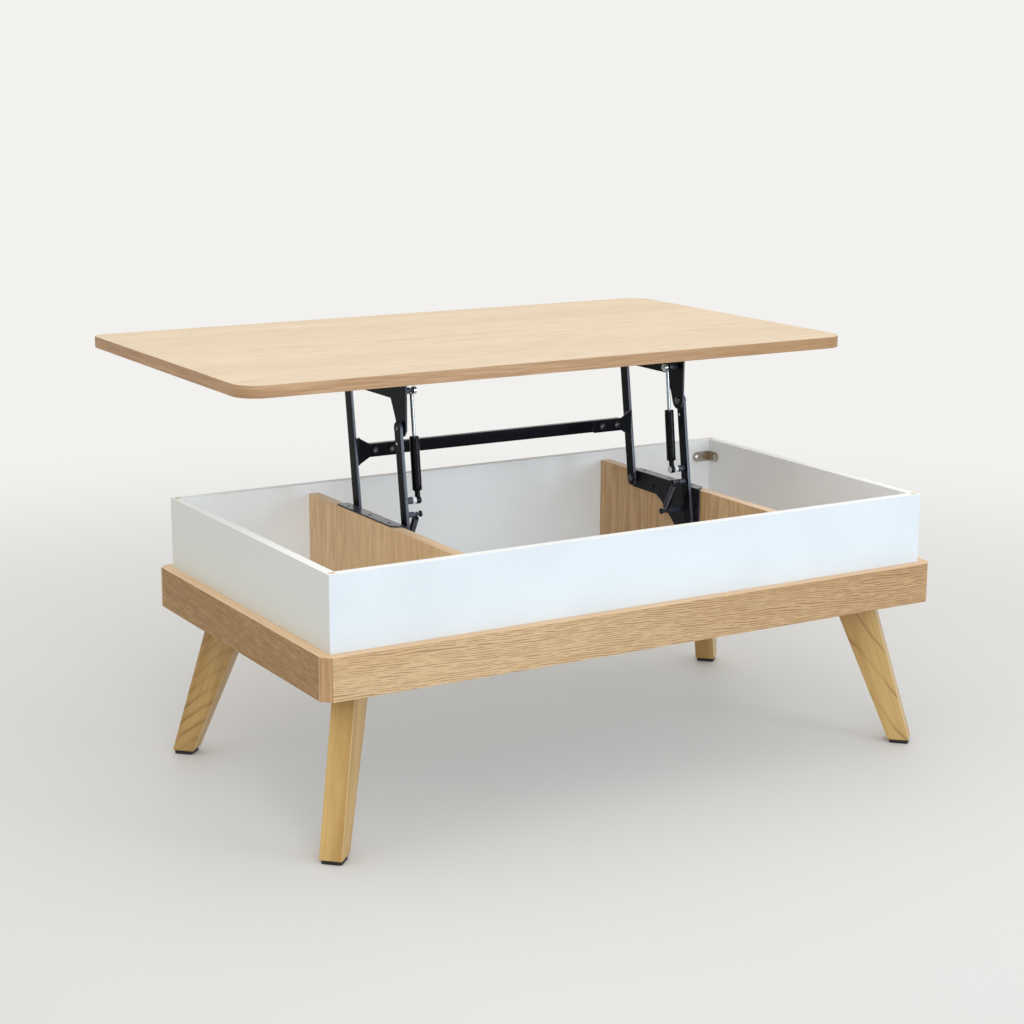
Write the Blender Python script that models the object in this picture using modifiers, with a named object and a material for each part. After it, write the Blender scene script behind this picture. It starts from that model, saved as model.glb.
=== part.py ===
"""Lift-top coffee table, modelled with its top raised and slid out over the sitter's side.

Metres, +Z up, floor at Z = 0.  +X runs along the table's long side and +Y points to the
sitter, the way the top travels.  The origin is on the floor, under the middle of the box
that encloses the raised table.
"""
import math

import bmesh
import bpy
from mathutils import Euler, Matrix, Vector

# ---------------------------------------------------------------- driving dimensions
TOUCH = 0.0003            # gap kept between pieces that touch

TOP_L = 1.110
TOP_D = 0.622
TOP_T = 0.019
TOP_CORNERS = (0.040, 0.040, 0.040, 0.020)    # rounding, counter-clockwise from -X -Y
TOP_UNDERSIDE = 0.632     # raised

RIM_Z = 0.422             # top of the white storage box
CLOSED_GAP = 0.0005       # under the lowered top
TRAVEL_Y = 0.250          # how far the top comes towards the sitter

SKIRT_L = 1.100
SKIRT_D = 0.608
SKIRT_T = 0.018
SKIRT_Z0 = 0.245
SKIRT_H = 0.064
SKIRT_CHAMFER = 0.0135

WALL_T = 0.015
FLOOR_T = 0.015
FLOOR_TOP = 0.2655
DIVIDER_T = 0.018
DIVIDER_INNER_X = 0.278
DIVIDER_TOP = 0.4065

FOOT_X = 0.5228           # middle of a foot
FOOT_Y = 0.272
LEG_T = 0.035
GLIDE_H = 0.005
LEG_OUTER_FOOT = 0.0176    # outer edge, outwards from the middle of the foot
LEG_INNER_FOOT = -0.0176
LEG_OUTER_LEAN = 0.2983   # slope of each edge, inwards per unit of height
LEG_INNER_LEAN = 0.4316
LEG_PLATE_T = 0.0025

LEG_EASE = 0.0030
LEG_PLATE_L = 0.105
LEG_PLATE_W = 0.055
LEG_PLATE_CORNER_R = 0.008
LEG_SCREW_X = 0.044
LEG_SCREW_Y = 0.020
STUD_R = 0.004
STUD_L = 0.035
GLIDE_L = 0.031
GLIDE_W = 0.032
GLIDE_CORNER_R = 0.005

BRACKET_Z = 0.392         # corner brackets
BRACKET_H = 0.018
BRACKET_T = 0.002
BRACKET_END_FLAT = 0.0005         # half of the flat left between an end's two roundings
BRACKET_LONG_LEG = 0.037
BRACKET_SHORT_LEG = 0.028

SCREW_HOLE_R = 0.0023
FOLD_OVERLAP = 0.0002             # how far a folded plate's lip reaches into its wall
TINY_CHAMFER = 0.001              # on turned pieces
HEAD_CROWN = 0.7                  # flat of a domed head, as a part of its radius
WELD_DISTANCE = 0.00001           # vertices nearer than this are one vertex

# Lift mechanism.  Each unit is a parallelogram of two arms of equal length.
ARM_LEAN = math.radians(8.3)      # past upright, towards the sitter, with the top raised
REAR_BASE = (0.1535, 0.3975)      # base pivot of the rear arm: Y from the base's middle, Z
FRONT_TOP = (0.0127, 0.5537)      # top pivot of the front arm
ARM_X = 0.2629                    # inner face of the arms
ARM_T = 0.005
REAR_ARM_W = 0.020
FRONT_ARM_W = 0.019
TOP_BRACKET_X = 0.2577
TOP_BRACKET_T = 0.0028
BASE_PLATE_X = 0.2750
BASE_PLATE_T = 0.0027
PIN_R = 0.004
PIN_CLEARANCE = 0.0003
PIN_HEAD_R = 0.0065
PIN_HEAD_H = 0.002
PIN_DOME = 0.4                    # height of a head's dome, as a part of the head's height
SHOULDER_R = 0.0075
STUD_ROOT = 0.0012                # how far a stud's root reaches into its plate
REAR_ARM_TAIL = 0.003
FRONT_ARM_LOBE_R = 0.0105
TOP_BRACKET_LOBE_R = 0.014
TOP_BRACKET_TAIL_R = 0.018
TOP_BRACKET_NEAR_DROP = 0.003     # from the front pivot down to the end of the near edge
TOP_BRACKET_FLANK = ((0.0272, 0.5530), (0.0320, 0.5665), (0.0475, 0.5957))
TOP_LIP_T = 0.0025
TOP_LIP_X = 0.2870
TOP_LIP_Y = (-0.002, 0.2014)
TOP_LIP_SCREW_X = 0.2775
TOP_LIP_SCREW_Y = (0.020, 0.098, 0.176)
BASE_LIP_T = 0.0022
BASE_LIP_X = 0.2945
BASE_LIP_CUT = 0.009
BASE_LIP_Y = (-0.0225, 0.168)
BASE_LIP_SCREW_X = 0.2865
BASE_LIP_SCREW_Y = (0.005, 0.070, 0.145)
BASE_PLATE_HOLE = (0.1018, 0.3893)
BASE_PLATE_HOLE_R = 0.003
BASE_PLATE_OUTLINE = (            # corners: Y from the base's middle, Z, rounding
    (-0.0305, 0.3200, 0.006), (0.0195, 0.3200, 0.010), (0.0390, 0.3367, 0.012),
    (0.0527, 0.3484, 0.020), (0.0768, 0.3691, 0.020), (0.0934, 0.3780, 0.020),
    (0.1647, 0.3790, 0.004), (0.1680, 0.3825, 0.002), (0.1680, 0.4090, 0.0),
    (-0.0305, 0.4090, 0.0))

GAS_X = 0.2396
GAS_LOWER = (-0.001, 0.4415)      # on the front arm
GAS_UPPER = (0.0185, 0.6100)       # on the top bracket
GAS_TUBE_R = 0.0075
GAS_ROD_R = 0.003
GAS_EYE_R = 0.006
GAS_LOWER_EYE_T = 0.008
GAS_UPPER_EYE_T = 0.0064
GAS_UPPER_EYE_X = 0.2352
GAS_EYE_NECK = 0.0045             # from an eye's middle to the start of its neck
GAS_NECK_R = 0.0045
GAS_TUBE_START = 0.015            # distances from the lower eye
GAS_TUBE_END = 0.0991
GAS_BORE_START = 0.0185
GAS_ROD_START = 0.068
GAS_BUSH_X = 0.2504
GAS_BUSH_R = 0.0055
GAS_COLLAR_R = 0.004
GAS_JOURNAL_R = 0.0028
GAS_UPPER_PIN_R = 0.005
GAS_PIN_END_X = 0.2430

SPRING_X = 0.2445
SPRING_LOWER = (0.024, 0.3655)    # on the base plate
SPRING_UPPER = (-0.0063, 0.4204)  # on the front arm
SPRING_R = 0.0055
SPRING_END = 0.007                # from each pin's axis to the coil
SPRING_STUD_R = 0.0045
SPRING_STUD_HEAD_X = 0.2358
SPRING_STUD_HEAD_R = 0.005
SPRING_STUD_HEAD_H = 0.0035
SPRING_STUD_NECK = 0.0105
SPRING_STUD_NECK_R = 0.0025

CROSS_BAR_Z = 0.493
CROSS_BAR_H = 0.020
CROSS_BAR_D = 0.012
CROSS_BAR_Y = 0.1575              # front face of the bar
CROSS_BAR_END_X = 0.2415
CROSS_TAB_T = 0.0026
CROSS_TAB_H = 0.0215
CROSS_TAB_END_X = 0.185
CROSS_BOLT_X = (0.2025, 0.2325)
CROSS_TAB_Y = 0.1545              # front face of the tabs
CROSS_FLARE_X = 0.2425
CROSS_FLANGE_H = 0.045
CROSS_FLANGE_Y = 0.172
CROSS_FLANGE_CUT = 0.006
CROSS_TAB_END_R = 0.003
CROSS_FLARE_R = 0.006
CROSS_WALL = 0.0015
CROSS_CORNER_R = 0.0015
CROSS_BORE_R = 0.0005
BOLT_R = 0.0025
BOLT_HEAD_R = 0.004
BOLT_HEAD_H = 0.0025
BOLT_DOME = 0.3                   # height of a head's chamfer, as a part of the head's height
WASHER_R = 0.0065
WASHER_T = 0.001
BOLT_REACH = 0.005                # past the tube's front wall

# ---------------------------------------------------------------- derived dimensions
RAISED_DEPTH = TRAVEL_Y + TOP_D / 2 + SKIRT_D / 2
BASE_Y = SKIRT_D / 2 - RAISED_DEPTH / 2
TOP_Y = BASE_Y + TRAVEL_Y
BOX_L = SKIRT_L - 2 * SKIRT_T - 2 * TOUCH
BOX_D = SKIRT_D - 2 * SKIRT_T - 2 * TOUCH
WALL_Z0 = FLOOR_TOP - FLOOR_T
LEG_TOP = WALL_Z0 - LEG_PLATE_T - 2 * TOUCH

DROP_Z = TOP_UNDERSIDE - RIM_Z - CLOSED_GAP
CHORD = math.hypot(TRAVEL_Y, DROP_Z)
HALF_SWING = ARM_LEAN + math.atan2(DROP_Z, TRAVEL_Y)
ARM_LENGTH = CHORD / (2 * math.sin(HALF_SWING))
ARM_VECTOR = (ARM_LENGTH * math.sin(ARM_LEAN), ARM_LENGTH * math.cos(ARM_LEAN))
REAR_TOP = (REAR_BASE[0] + ARM_VECTOR[0], REAR_BASE[1] + ARM_VECTOR[1])
FRONT_BASE = (FRONT_TOP[0] - ARM_VECTOR[0], FRONT_TOP[1] - ARM_VECTOR[1])

SIDES = (("left", -1), ("right", 1))
ENDS = (("front", -1), ("back", 1))
MODEL = bpy.data.collections.new("lift_top_coffee_table")


# ---------------------------------------------------------------- scene and materials
def clear_scene():
    for obj in list(bpy.data.objects):
        bpy.data.objects.remove(obj, do_unlink=True)


def material(name, colour, roughness, metallic=0.0):
    mat = bpy.data.materials.get(name)
    if mat:
        return mat
    mat = bpy.data.materials.new(name)
    mat.use_nodes = True
    shader = mat.node_tree.nodes["Principled BSDF"]
    shader.inputs["Base Color"].default_value = (*colour, 1.0)
    shader.inputs["Roughness"].default_value = roughness
    shader.inputs["Metallic"].default_value = metallic
    mat.diffuse_color = (*colour, 1.0)
    return mat


FINISHES = {
    "top_laminate": ((0.78, 0.62, 0.43), 0.45, 0.0),
    "oak_laminate": ((0.62, 0.42, 0.23), 0.50, 0.0),
    "white_melamine": ((0.86, 0.88, 0.90), 0.40, 0.0),
    "leg_wood": ((0.66, 0.43, 0.18), 0.40, 0.0),
    "black_steel": ((0.02, 0.02, 0.025), 0.35, 0.6),
    "chrome": ((0.80, 0.82, 0.84), 0.12, 1.0),
    "nickel": ((0.55, 0.54, 0.52), 0.28, 1.0),
    "black_plastic": ((0.015, 0.015, 0.015), 0.50, 0.0),
}


def finish(obj, slot):
    obj.data.materials.clear()
    obj.data.materials.append(material(slot, *FINISHES[slot]))
    return obj


# ---------------------------------------------------------------- shape helpers
UPRIGHT = Euler((math.pi / 2, 0, math.pi / 2)).to_matrix().to_4x4()    # outline in YZ
FACING_Y = Euler((math.pi / 2, 0, 0)).to_matrix().to_4x4()             # outline in XZ
STANDING = Matrix.Rotation(math.pi / 2, 4, "X")                        # outline in XZ


def at(x, point):
    """World place of a (Y from the base's middle, Z) point at some X."""
    return Vector((x, BASE_Y + point[0], point[1]))


def add_object(name, data):
    obj = bpy.data.objects.new(name, data)
    MODEL.objects.link(obj)
    return obj


def mesh_object(name, bm):
    mesh = bpy.data.meshes.new(name)
    bm.to_mesh(mesh)
    bm.free()
    return add_object(name, mesh)


def smooth(obj, angle=math.radians(35)):
    obj.data.shade_smooth()
    obj.data.set_sharp_from_angle(angle=angle)


def add_bevel(obj, width, segments=2):
    bevel = obj.modifiers.new("eased edges", "BEVEL")
    bevel.width = width
    bevel.segments = segments
    bevel.limit_method = "ANGLE"
    bevel.angle_limit = math.radians(40)


def board(name, low, high, slot, ease=0.0):
    """A straight board between two corners."""
    low = Vector(low)
    high = Vector(high)
    bm = bmesh.new()
    bmesh.ops.create_cube(bm, size=1.0)
    bmesh.ops.scale(bm, vec=high - low, verts=bm.verts)
    obj = mesh_object(name, bm)
    obj.location = (low + high) / 2
    if ease:
        add_bevel(obj, ease, 1)
    return finish(obj, slot)


def arc(centre, radius, start, end, steps=6):
    angles = [start + (end - start) * i / steps for i in range(steps + 1)]
    return [(centre[0] + radius * math.cos(a), centre[1] + radius * math.sin(a)) for a in angles]


def circle(centre, radius, sides=16):
    return arc(centre, radius, 0, 2 * math.pi * (sides - 1) / sides, sides - 1)


def fillet(corners, steps=5):
    """An outline with its corners rounded; each corner is (x, y, radius)."""
    outline = []
    for i, (x, y, radius) in enumerate(corners):
        corner = Vector((x, y))
        if not radius:
            outline.append((x, y))
            continue
        before = (Vector(corners[i - 1][:2]) - corner).normalized()
        after = (Vector(corners[(i + 1) % len(corners)][:2]) - corner).normalized()
        half = before.angle(after) / 2
        centre = corner + (before + after).normalized() * (radius / math.sin(half))
        start = corner + before * (radius / math.tan(half)) - centre
        sweep = math.pi - 2 * half
        if before.cross(after) > 0:
            sweep = -sweep
        first = math.atan2(start.y, start.x)
        outline += arc(centre, radius, first, first + sweep, steps)
    return outline


def rounded_rectangle(length, width, radius, steps=5):
    x = length / 2
    y = width / 2
    return fillet([(-x, -y, radius), (x, -y, radius), (x, y, radius), (-x, y, radius)], steps)


def bar_outline(length, width, tail=0.0, lobe=None):
    """A flat bar from its pivot at the origin up to its pivot at (0, length)."""
    half = width / 2
    lobe = lobe or half
    open_angle = math.acos(min(1.0, half / lobe))
    lower = arc((0, -tail), half, math.pi, 2 * math.pi)
    upper = arc((0, length), lobe, -open_angle, math.pi + open_angle, 8)
    return lower + upper


def to_mesh(obj):
    """Turn an object into a welded mesh object with the same name and place."""
    bpy.context.view_layer.update()
    depsgraph = bpy.context.evaluated_depsgraph_get()
    mesh = bpy.data.meshes.new_from_object(obj.evaluated_get(depsgraph))
    place = obj.matrix_world.copy()
    name = obj.name
    bpy.data.objects.remove(obj, do_unlink=True)
    bm = bmesh.new()
    bm.from_mesh(mesh)
    bpy.data.meshes.remove(mesh)
    bmesh.ops.remove_doubles(bm, verts=bm.verts, dist=WELD_DISTANCE)
    bmesh.ops.recalc_face_normals(bm, faces=bm.faces)
    solid = mesh_object(name, bm)
    solid.matrix_world = place
    return solid


def plate(name, outline, thickness, place, slot, holes=(), ease=0.0):
    """A flat piece cut to an outline; place is the matrix of its middle plane."""
    curve = bpy.data.curves.new(name, "CURVE")
    curve.dimensions = "2D"
    curve.fill_mode = "BOTH"
    curve.extrude = thickness / 2
    for loop in (outline, *holes):
        spline = curve.splines.new("POLY")
        spline.points.add(len(loop) - 1)
        for point, (x, y) in zip(spline.points, loop):
            point.co = (x, y, 0.0, 1.0)
        spline.use_cyclic_u = True
    obj = add_object(name, curve)
    obj.matrix_world = place
    obj = to_mesh(obj)
    smooth(obj)
    if ease:
        add_bevel(obj, ease, 2)
    return finish(obj, slot)


def side_plate(name, outline, inner_x, thickness, side, slot, holes=(), origin=(0.0, 0.0), lean=0.0):
    """A plate standing in the YZ plane, its face nearer the middle at inner_x on one side."""
    middle = at(side * (inner_x + thickness / 2), origin)
    place = Matrix.Translation(middle) @ UPRIGHT @ Matrix.Rotation(-lean, 4, "Z")
    return plate(name, outline, thickness, place, slot, holes)


def turned(name, profile, start, end, slot, sides=16):
    """A piece turned about the line from start to end; the profile is (distance, radius)."""
    bm = bmesh.new()
    verts = [bm.verts.new((radius, 0, distance)) for distance, radius in profile]
    for a, b in zip(verts, verts[1:]):
        bm.edges.new((a, b))
    obj = mesh_object(name, bm)
    screw = obj.modifiers.new("turn", "SCREW")
    screw.steps = sides
    screw.render_steps = sides
    axis = Vector(end) - Vector(start)
    obj.matrix_world = Matrix.Translation(start) @ axis.to_track_quat("Z", "Y").to_matrix().to_4x4()
    obj = to_mesh(obj)
    smooth(obj)
    return finish(obj, slot)


def combine(name, target, others, operation):
    """Join pieces to the target, or cut them from it, as one closed body."""
    slot = target.data.materials[0].name
    for other in others:
        boolean = target.modifiers.new(operation.lower(), "BOOLEAN")
        boolean.operation = operation
        boolean.object = other
    target = to_mesh(target)
    target.name = name
    for other in others:
        bpy.data.objects.remove(other, do_unlink=True)
    smooth(target)
    return finish(target, slot)


def disc(name, start, end, radius, slot, sides=16):
    """A plain round bar between two points."""
    length = (Vector(end) - Vector(start)).length
    profile = [(0, 0), (0, radius), (length, radius), (length, 0)]
    return turned(name, profile, start, end, slot, sides)


def set_origin(obj, point):
    """Move an object's origin to a point, leaving its shape where it is."""
    bpy.context.view_layer.update()
    shift = obj.matrix_world.inverted() @ Vector(point)
    obj.data.transform(Matrix.Translation(-shift))
    obj.matrix_world = obj.matrix_world @ Matrix.Translation(shift)


# ---------------------------------------------------------------- table top
def make_top():
    place = Matrix.Translation((0, TOP_Y, TOP_UNDERSIDE + TOP_T / 2))
    x = TOP_L / 2
    y = TOP_D / 2
    spots = ((-x, -y), (x, -y), (x, y), (-x, y))
    outline = fillet([(*spot, radius) for spot, radius in zip(spots, TOP_CORNERS)], 8)
    return [plate("top_panel", outline, TOP_T, place, "top_laminate", ease=0.0012)]


# ---------------------------------------------------------------- skirt frame
def make_skirt():
    """Long rails run past the short ones; their ends are chamfered."""
    half_l = SKIRT_L / 2
    outer = SKIRT_D / 2
    inner = outer - SKIRT_T
    c = SKIRT_CHAMFER
    outline = [(-half_l, inner), (half_l, inner), (half_l, outer - c),
               (half_l - c, outer), (-half_l + c, outer), (-half_l, outer - c)]
    pieces = []
    for name, turn in (("back_rail", 0), ("front_rail", math.pi)):
        place = Matrix.Translation((0, BASE_Y, SKIRT_Z0 + SKIRT_H / 2)) @ Matrix.Rotation(turn, 4, "Z")
        pieces.append(plate(name, outline, SKIRT_H, place, "oak_laminate"))
    for side_name, side in SIDES:
        outer_x = side * half_l
        inner_x = side * (half_l - SKIRT_T)
        low = (min(outer_x, inner_x), BASE_Y - inner + TOUCH, SKIRT_Z0)
        high = (max(outer_x, inner_x), BASE_Y + inner - TOUCH, SKIRT_Z0 + SKIRT_H)
        pieces.append(board(side_name + "_rail", low, high, "oak_laminate"))
    return pieces


# ---------------------------------------------------------------- storage box
def make_box():
    """Long walls cover the ends of the short ones; the floor sits between all four."""
    pieces = []
    half_l = BOX_L / 2
    half_d = BOX_D / 2
    inner_y = half_d - WALL_T - TOUCH
    for name, end in ENDS:
        ys = sorted((BASE_Y + end * half_d, BASE_Y + end * (half_d - WALL_T)))
        low = (-half_l, ys[0], WALL_Z0)
        pieces.append(board(name + "_panel", low, (half_l, ys[1], RIM_Z), "white_melamine"))
    for name, side in SIDES:
        xs = sorted((side * half_l, side * (half_l - WALL_T)))
        low = (xs[0], BASE_Y - inner_y, WALL_Z0)
        high = (xs[1], BASE_Y + inner_y, RIM_Z)
        pieces.append(board(name + "_panel", low, high, "white_melamine"))
    floor_x = half_l - WALL_T - TOUCH
    low = (-floor_x, BASE_Y - inner_y, WALL_Z0)
    pieces.append(board("floor_panel", low, (floor_x, BASE_Y + inner_y, FLOOR_TOP), "white_melamine"))
    for name, side in SIDES:
        xs = sorted((side * DIVIDER_INNER_X, side * (DIVIDER_INNER_X + DIVIDER_T)))
        low = (xs[0], BASE_Y - inner_y, FLOOR_TOP + TOUCH)
        high = (xs[1], BASE_Y + inner_y, DIVIDER_TOP)
        pieces.append(board(name + "_divider", low, high, "oak_laminate"))
    return pieces


def corner_bracket(name, side, end):
    """An L of flat strip in one inner corner of the box."""
    corner_x = side * (BOX_L / 2 - WALL_T - TOUCH)
    corner_y = BASE_Y + end * (BOX_D / 2 - WALL_T - TOUCH)
    half_h = BRACKET_H / 2
    radius = half_h - BRACKET_END_FLAT
    legs = []
    for length, along_x in ((BRACKET_LONG_LEG, True), (BRACKET_SHORT_LEG, False)):
        corners = [(0, -half_h, 0), (length, -half_h, radius), (length, half_h, radius), (0, half_h, 0)]
        outline = fillet(corners)
        if along_x:
            turn = 0 if side < 0 else math.pi
            middle = (corner_x, corner_y - end * BRACKET_T / 2, BRACKET_Z)
        else:
            turn = -end * math.pi / 2
            middle = (corner_x - side * BRACKET_T / 2, corner_y, BRACKET_Z)
        place = Matrix.Translation(middle) @ Matrix.Rotation(turn, 4, "Z") @ FACING_Y
        legs.append(plate("bracket leg", outline, BRACKET_T, place, "nickel"))
    return combine(name, legs[0], legs[1:], "UNION")


def make_corner_brackets():
    for side_name, side in SIDES:
        for end_name, end in ENDS:
            corner_bracket("corner_bracket_" + end_name + "_" + side_name, side, end)


# ---------------------------------------------------------------- legs
def leg_radius(z, foot, lean):
    return foot - lean * (z - GLIDE_H)


def make_legs():
    """Four tapered boards, each standing in the upright plane of its corner's diagonal."""
    top_outer = leg_radius(LEG_TOP, LEG_OUTER_FOOT, LEG_OUTER_LEAN)
    top_inner = leg_radius(LEG_TOP, LEG_INNER_FOOT, LEG_INNER_LEAN)
    head_middle = (top_outer + top_inner) / 2
    foot_middle = (LEG_OUTER_FOOT + LEG_INNER_FOOT) / 2
    foot_edge = [(LEG_INNER_FOOT, GLIDE_H), (LEG_OUTER_FOOT, GLIDE_H)]
    outline = foot_edge + [(top_outer, LEG_TOP), (top_inner, LEG_TOP)]
    pad = rounded_rectangle(GLIDE_L, GLIDE_W, GLIDE_CORNER_R)
    fixings = [(x, y) for x in (-LEG_SCREW_X, LEG_SCREW_X) for y in (-LEG_SCREW_Y, LEG_SCREW_Y)]
    holes = [circle(point, SCREW_HOLE_R, 12) for point in fixings]
    for end_name, end in ENDS:
        for side_name, side in SIDES:
            corner = "_" + end_name + "_" + side_name
            turn = Matrix.Rotation(math.atan2(end, side), 4, "Z")
            foot = Matrix.Translation((side * FOOT_X, BASE_Y + end * FOOT_Y, 0)) @ turn
            head = foot @ Vector((head_middle, 0, LEG_TOP))
            leg = plate("leg", outline, LEG_T, foot @ STANDING, "leg_wood")
            add_bevel(leg, LEG_EASE)
            leg = to_mesh(leg)
            depth = Vector((0, 0, STUD_L + TOUCH))
            socket = disc("socket", head - depth, head + depth, STUD_R + PIN_CLEARANCE, "leg_wood")
            combine("leg" + corner, finish(leg, "leg_wood"), [socket], "DIFFERENCE")
            at_plate = foot @ Matrix.Translation((head_middle, 0, LEG_TOP + TOUCH + LEG_PLATE_T / 2))
            shape = rounded_rectangle(LEG_PLATE_L, LEG_PLATE_W, LEG_PLATE_CORNER_R)
            leg_plate = plate("plate", shape, LEG_PLATE_T, at_plate, "black_steel", holes)
            stud_top = head + Vector((0, 0, LEG_PLATE_T / 2))
            stud = disc("stud", head - Vector((0, 0, STUD_L)), stud_top, STUD_R, "black_steel")
            combine("leg_plate" + corner, leg_plate, [stud], "UNION")
            at_pad = foot @ Matrix.Translation((foot_middle, 0, (GLIDE_H - TOUCH) / 2))
            plate("foot_glide" + corner, pad, GLIDE_H - TOUCH, at_pad, "black_plastic")


# ---------------------------------------------------------------- lift mechanism: fixed base plates
def make_base_plates():
    """A folded plate on each divider: the lip screws down on the divider's top edge."""
    pin_hole = PIN_R + PIN_CLEARANCE
    holes = [circle(FRONT_BASE, pin_hole), circle(REAR_BASE, pin_hole)]
    holes.append(circle(BASE_PLATE_HOLE, BASE_PLATE_HOLE_R, 12))
    low_y, high_y = BASE_LIP_Y
    lip_z = DIVIDER_TOP + TOUCH + BASE_LIP_T / 2
    for name, side in SIDES:
        wall = side_plate("wall", fillet(BASE_PLATE_OUTLINE), BASE_PLATE_X, BASE_PLATE_T, side,
                          "black_steel", holes)
        near = side * (BASE_PLATE_X + FOLD_OVERLAP)
        far = side * BASE_LIP_X
        cut = side * (BASE_LIP_X - BASE_LIP_CUT)
        lip_outline = [(near, low_y), (cut, low_y), (far, low_y + BASE_LIP_CUT), (far, high_y),
                       (near, high_y)]
        screw_holes = [circle((side * BASE_LIP_SCREW_X, y), SCREW_HOLE_R, 12) for y in BASE_LIP_SCREW_Y]
        lip = plate("lip", lip_outline, BASE_LIP_T, Matrix.Translation((0, BASE_Y, lip_z)), "black_steel",
                    screw_holes)
        stud = spring_stud(SPRING_LOWER, side, BASE_PLATE_X)
        combine("base_plate_" + name, wall, [lip, stud], "UNION")
        for end_name, pivot in (("front", FRONT_BASE), ("rear", REAR_BASE)):
            pivot_pin("base_pin_" + end_name + "_" + name, pivot, side, ARM_X, ARM_X + ARM_T,
                      BASE_PLATE_X, BASE_PLATE_X + BASE_PLATE_T)


def pivot_pin(name, pivot, side, *faces):
    """A shoulder rivet through two plates, given by the X of their four faces.

    It has a domed head on its inner end, a shoulder between the plates, and a flush end.
    """
    inner, shoulder, far_shoulder, outer = faces
    head = inner - TOUCH - PIN_HEAD_H
    near = shoulder + TOUCH - head
    far = far_shoulder - TOUCH - head
    end = outer - head
    steps = [(0, 0), (0, HEAD_CROWN * PIN_HEAD_R), (PIN_DOME * PIN_HEAD_H, PIN_HEAD_R),
             (PIN_HEAD_H, PIN_HEAD_R), (PIN_HEAD_H, PIN_R), (near, PIN_R), (near, SHOULDER_R),
             (far, SHOULDER_R), (far, PIN_R), (end, PIN_R), (end, 0)]
    return turned(name, steps, at(side * head, pivot), at(side * outer, pivot), "black_steel")


def spring_stud(point, side, face_x):
    """A turned stud standing inwards from a plate, with a neck for the spring's hook."""
    root = face_x + STUD_ROOT - SPRING_STUD_HEAD_X
    neck = SPRING_STUD_HEAD_H + SPRING_STUD_NECK
    head = SPRING_STUD_HEAD_H
    profile = [(0, 0), (0, HEAD_CROWN * SPRING_STUD_HEAD_R), (TINY_CHAMFER, SPRING_STUD_HEAD_R),
               (head, SPRING_STUD_HEAD_R), (head + TINY_CHAMFER, SPRING_STUD_NECK_R),
               (neck - TINY_CHAMFER, SPRING_STUD_NECK_R), (neck, SPRING_STUD_R), (root, SPRING_STUD_R),
               (root, 0)]
    start = at(side * SPRING_STUD_HEAD_X, point)
    return turned("stud", profile, start, at(side * face_x, point), "black_steel")


# ---------------------------------------------------------------- lift mechanism: rear arms and cross bar
def make_rear_arms():
    pieces = [cross_bar()]
    pin_hole = PIN_R + PIN_CLEARANCE
    holes = [circle((0, 0), pin_hole), circle((0, ARM_LENGTH), pin_hole)]
    outline = bar_outline(ARM_LENGTH, REAR_ARM_W, REAR_ARM_TAIL)
    for name, side in SIDES:
        pieces.append(side_plate("rear_arm_" + name, outline, ARM_X, ARM_T, side, "black_steel", holes,
                                 REAR_BASE, ARM_LEAN))
        pieces.append(cross_bar_bracket("cross_bar_bracket_" + name, side))
        for place_name, x in (("inner", CROSS_BOLT_X[0]), ("outer", CROSS_BOLT_X[1])):
            pieces.append(cross_bar_bolt("cross_bar_bolt_" + place_name + "_" + name, side * x))
    return pieces


def cross_bar():
    """A rectangular tube, its front wall drilled for four bolts."""
    middle = CROSS_BAR_Y + CROSS_BAR_D / 2
    bore_d = CROSS_BAR_D - 2 * CROSS_WALL
    bore_h = CROSS_BAR_H - 2 * CROSS_WALL
    outline = rounded_rectangle(CROSS_BAR_D, CROSS_BAR_H, CROSS_CORNER_R, 3)
    bore = rounded_rectangle(bore_d, bore_h, CROSS_BORE_R, 2)
    place = Matrix.Translation(at(0, (middle, CROSS_BAR_Z))) @ UPRIGHT
    tube = plate("tube", outline, 2 * CROSS_BAR_END_X, place, "black_steel", [bore])
    drills = []
    for x in CROSS_BOLT_X:
        for side in (-1, 1):
            start = at(side * x, (middle - CROSS_BAR_D, CROSS_BAR_Z))
            end = at(side * x, (middle, CROSS_BAR_Z))
            drills.append(disc("drill", start, end, BOLT_R + PIN_CLEARANCE, "black_steel", 12))
    return combine("cross_bar", tube, drills, "DIFFERENCE")


def cross_bar_bracket(name, side):
    """An angle: a flat tab across the bar's face, flaring to a flange on the arm."""
    half_tab = CROSS_TAB_H / 2
    half_flange = CROSS_FLANGE_H / 2
    arm_side = ARM_X - TOUCH
    outline = fillet([(CROSS_TAB_END_X, -half_tab, CROSS_TAB_END_R),
                      (CROSS_FLARE_X, -half_tab, CROSS_FLARE_R),
                      (arm_side, -half_flange, 0), (arm_side, half_flange, 0),
                      (CROSS_FLARE_X, half_tab, CROSS_FLARE_R),
                      (CROSS_TAB_END_X, half_tab, CROSS_TAB_END_R)])
    if side < 0:
        outline = [(-x, z) for x, z in reversed(outline)]
    holes = [circle((side * x, 0), BOLT_R + PIN_CLEARANCE, 12) for x in CROSS_BOLT_X]
    place = Matrix.Translation((0, BASE_Y + CROSS_TAB_Y + CROSS_TAB_T / 2, CROSS_BAR_Z)) @ FACING_Y
    tab = plate("tab", outline, CROSS_TAB_T, place, "black_steel", holes)
    back_half = half_flange - CROSS_FLANGE_CUT
    flange_outline = [(CROSS_TAB_Y, -half_flange), (CROSS_FLANGE_Y, -back_half),
                      (CROSS_FLANGE_Y, back_half), (CROSS_TAB_Y, half_flange)]
    flange = side_plate("flange", flange_outline, arm_side - CROSS_TAB_T, CROSS_TAB_T, side, "black_steel",
                        origin=(0.0, CROSS_BAR_Z))
    return combine(name, tab, [flange], "UNION")


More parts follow.
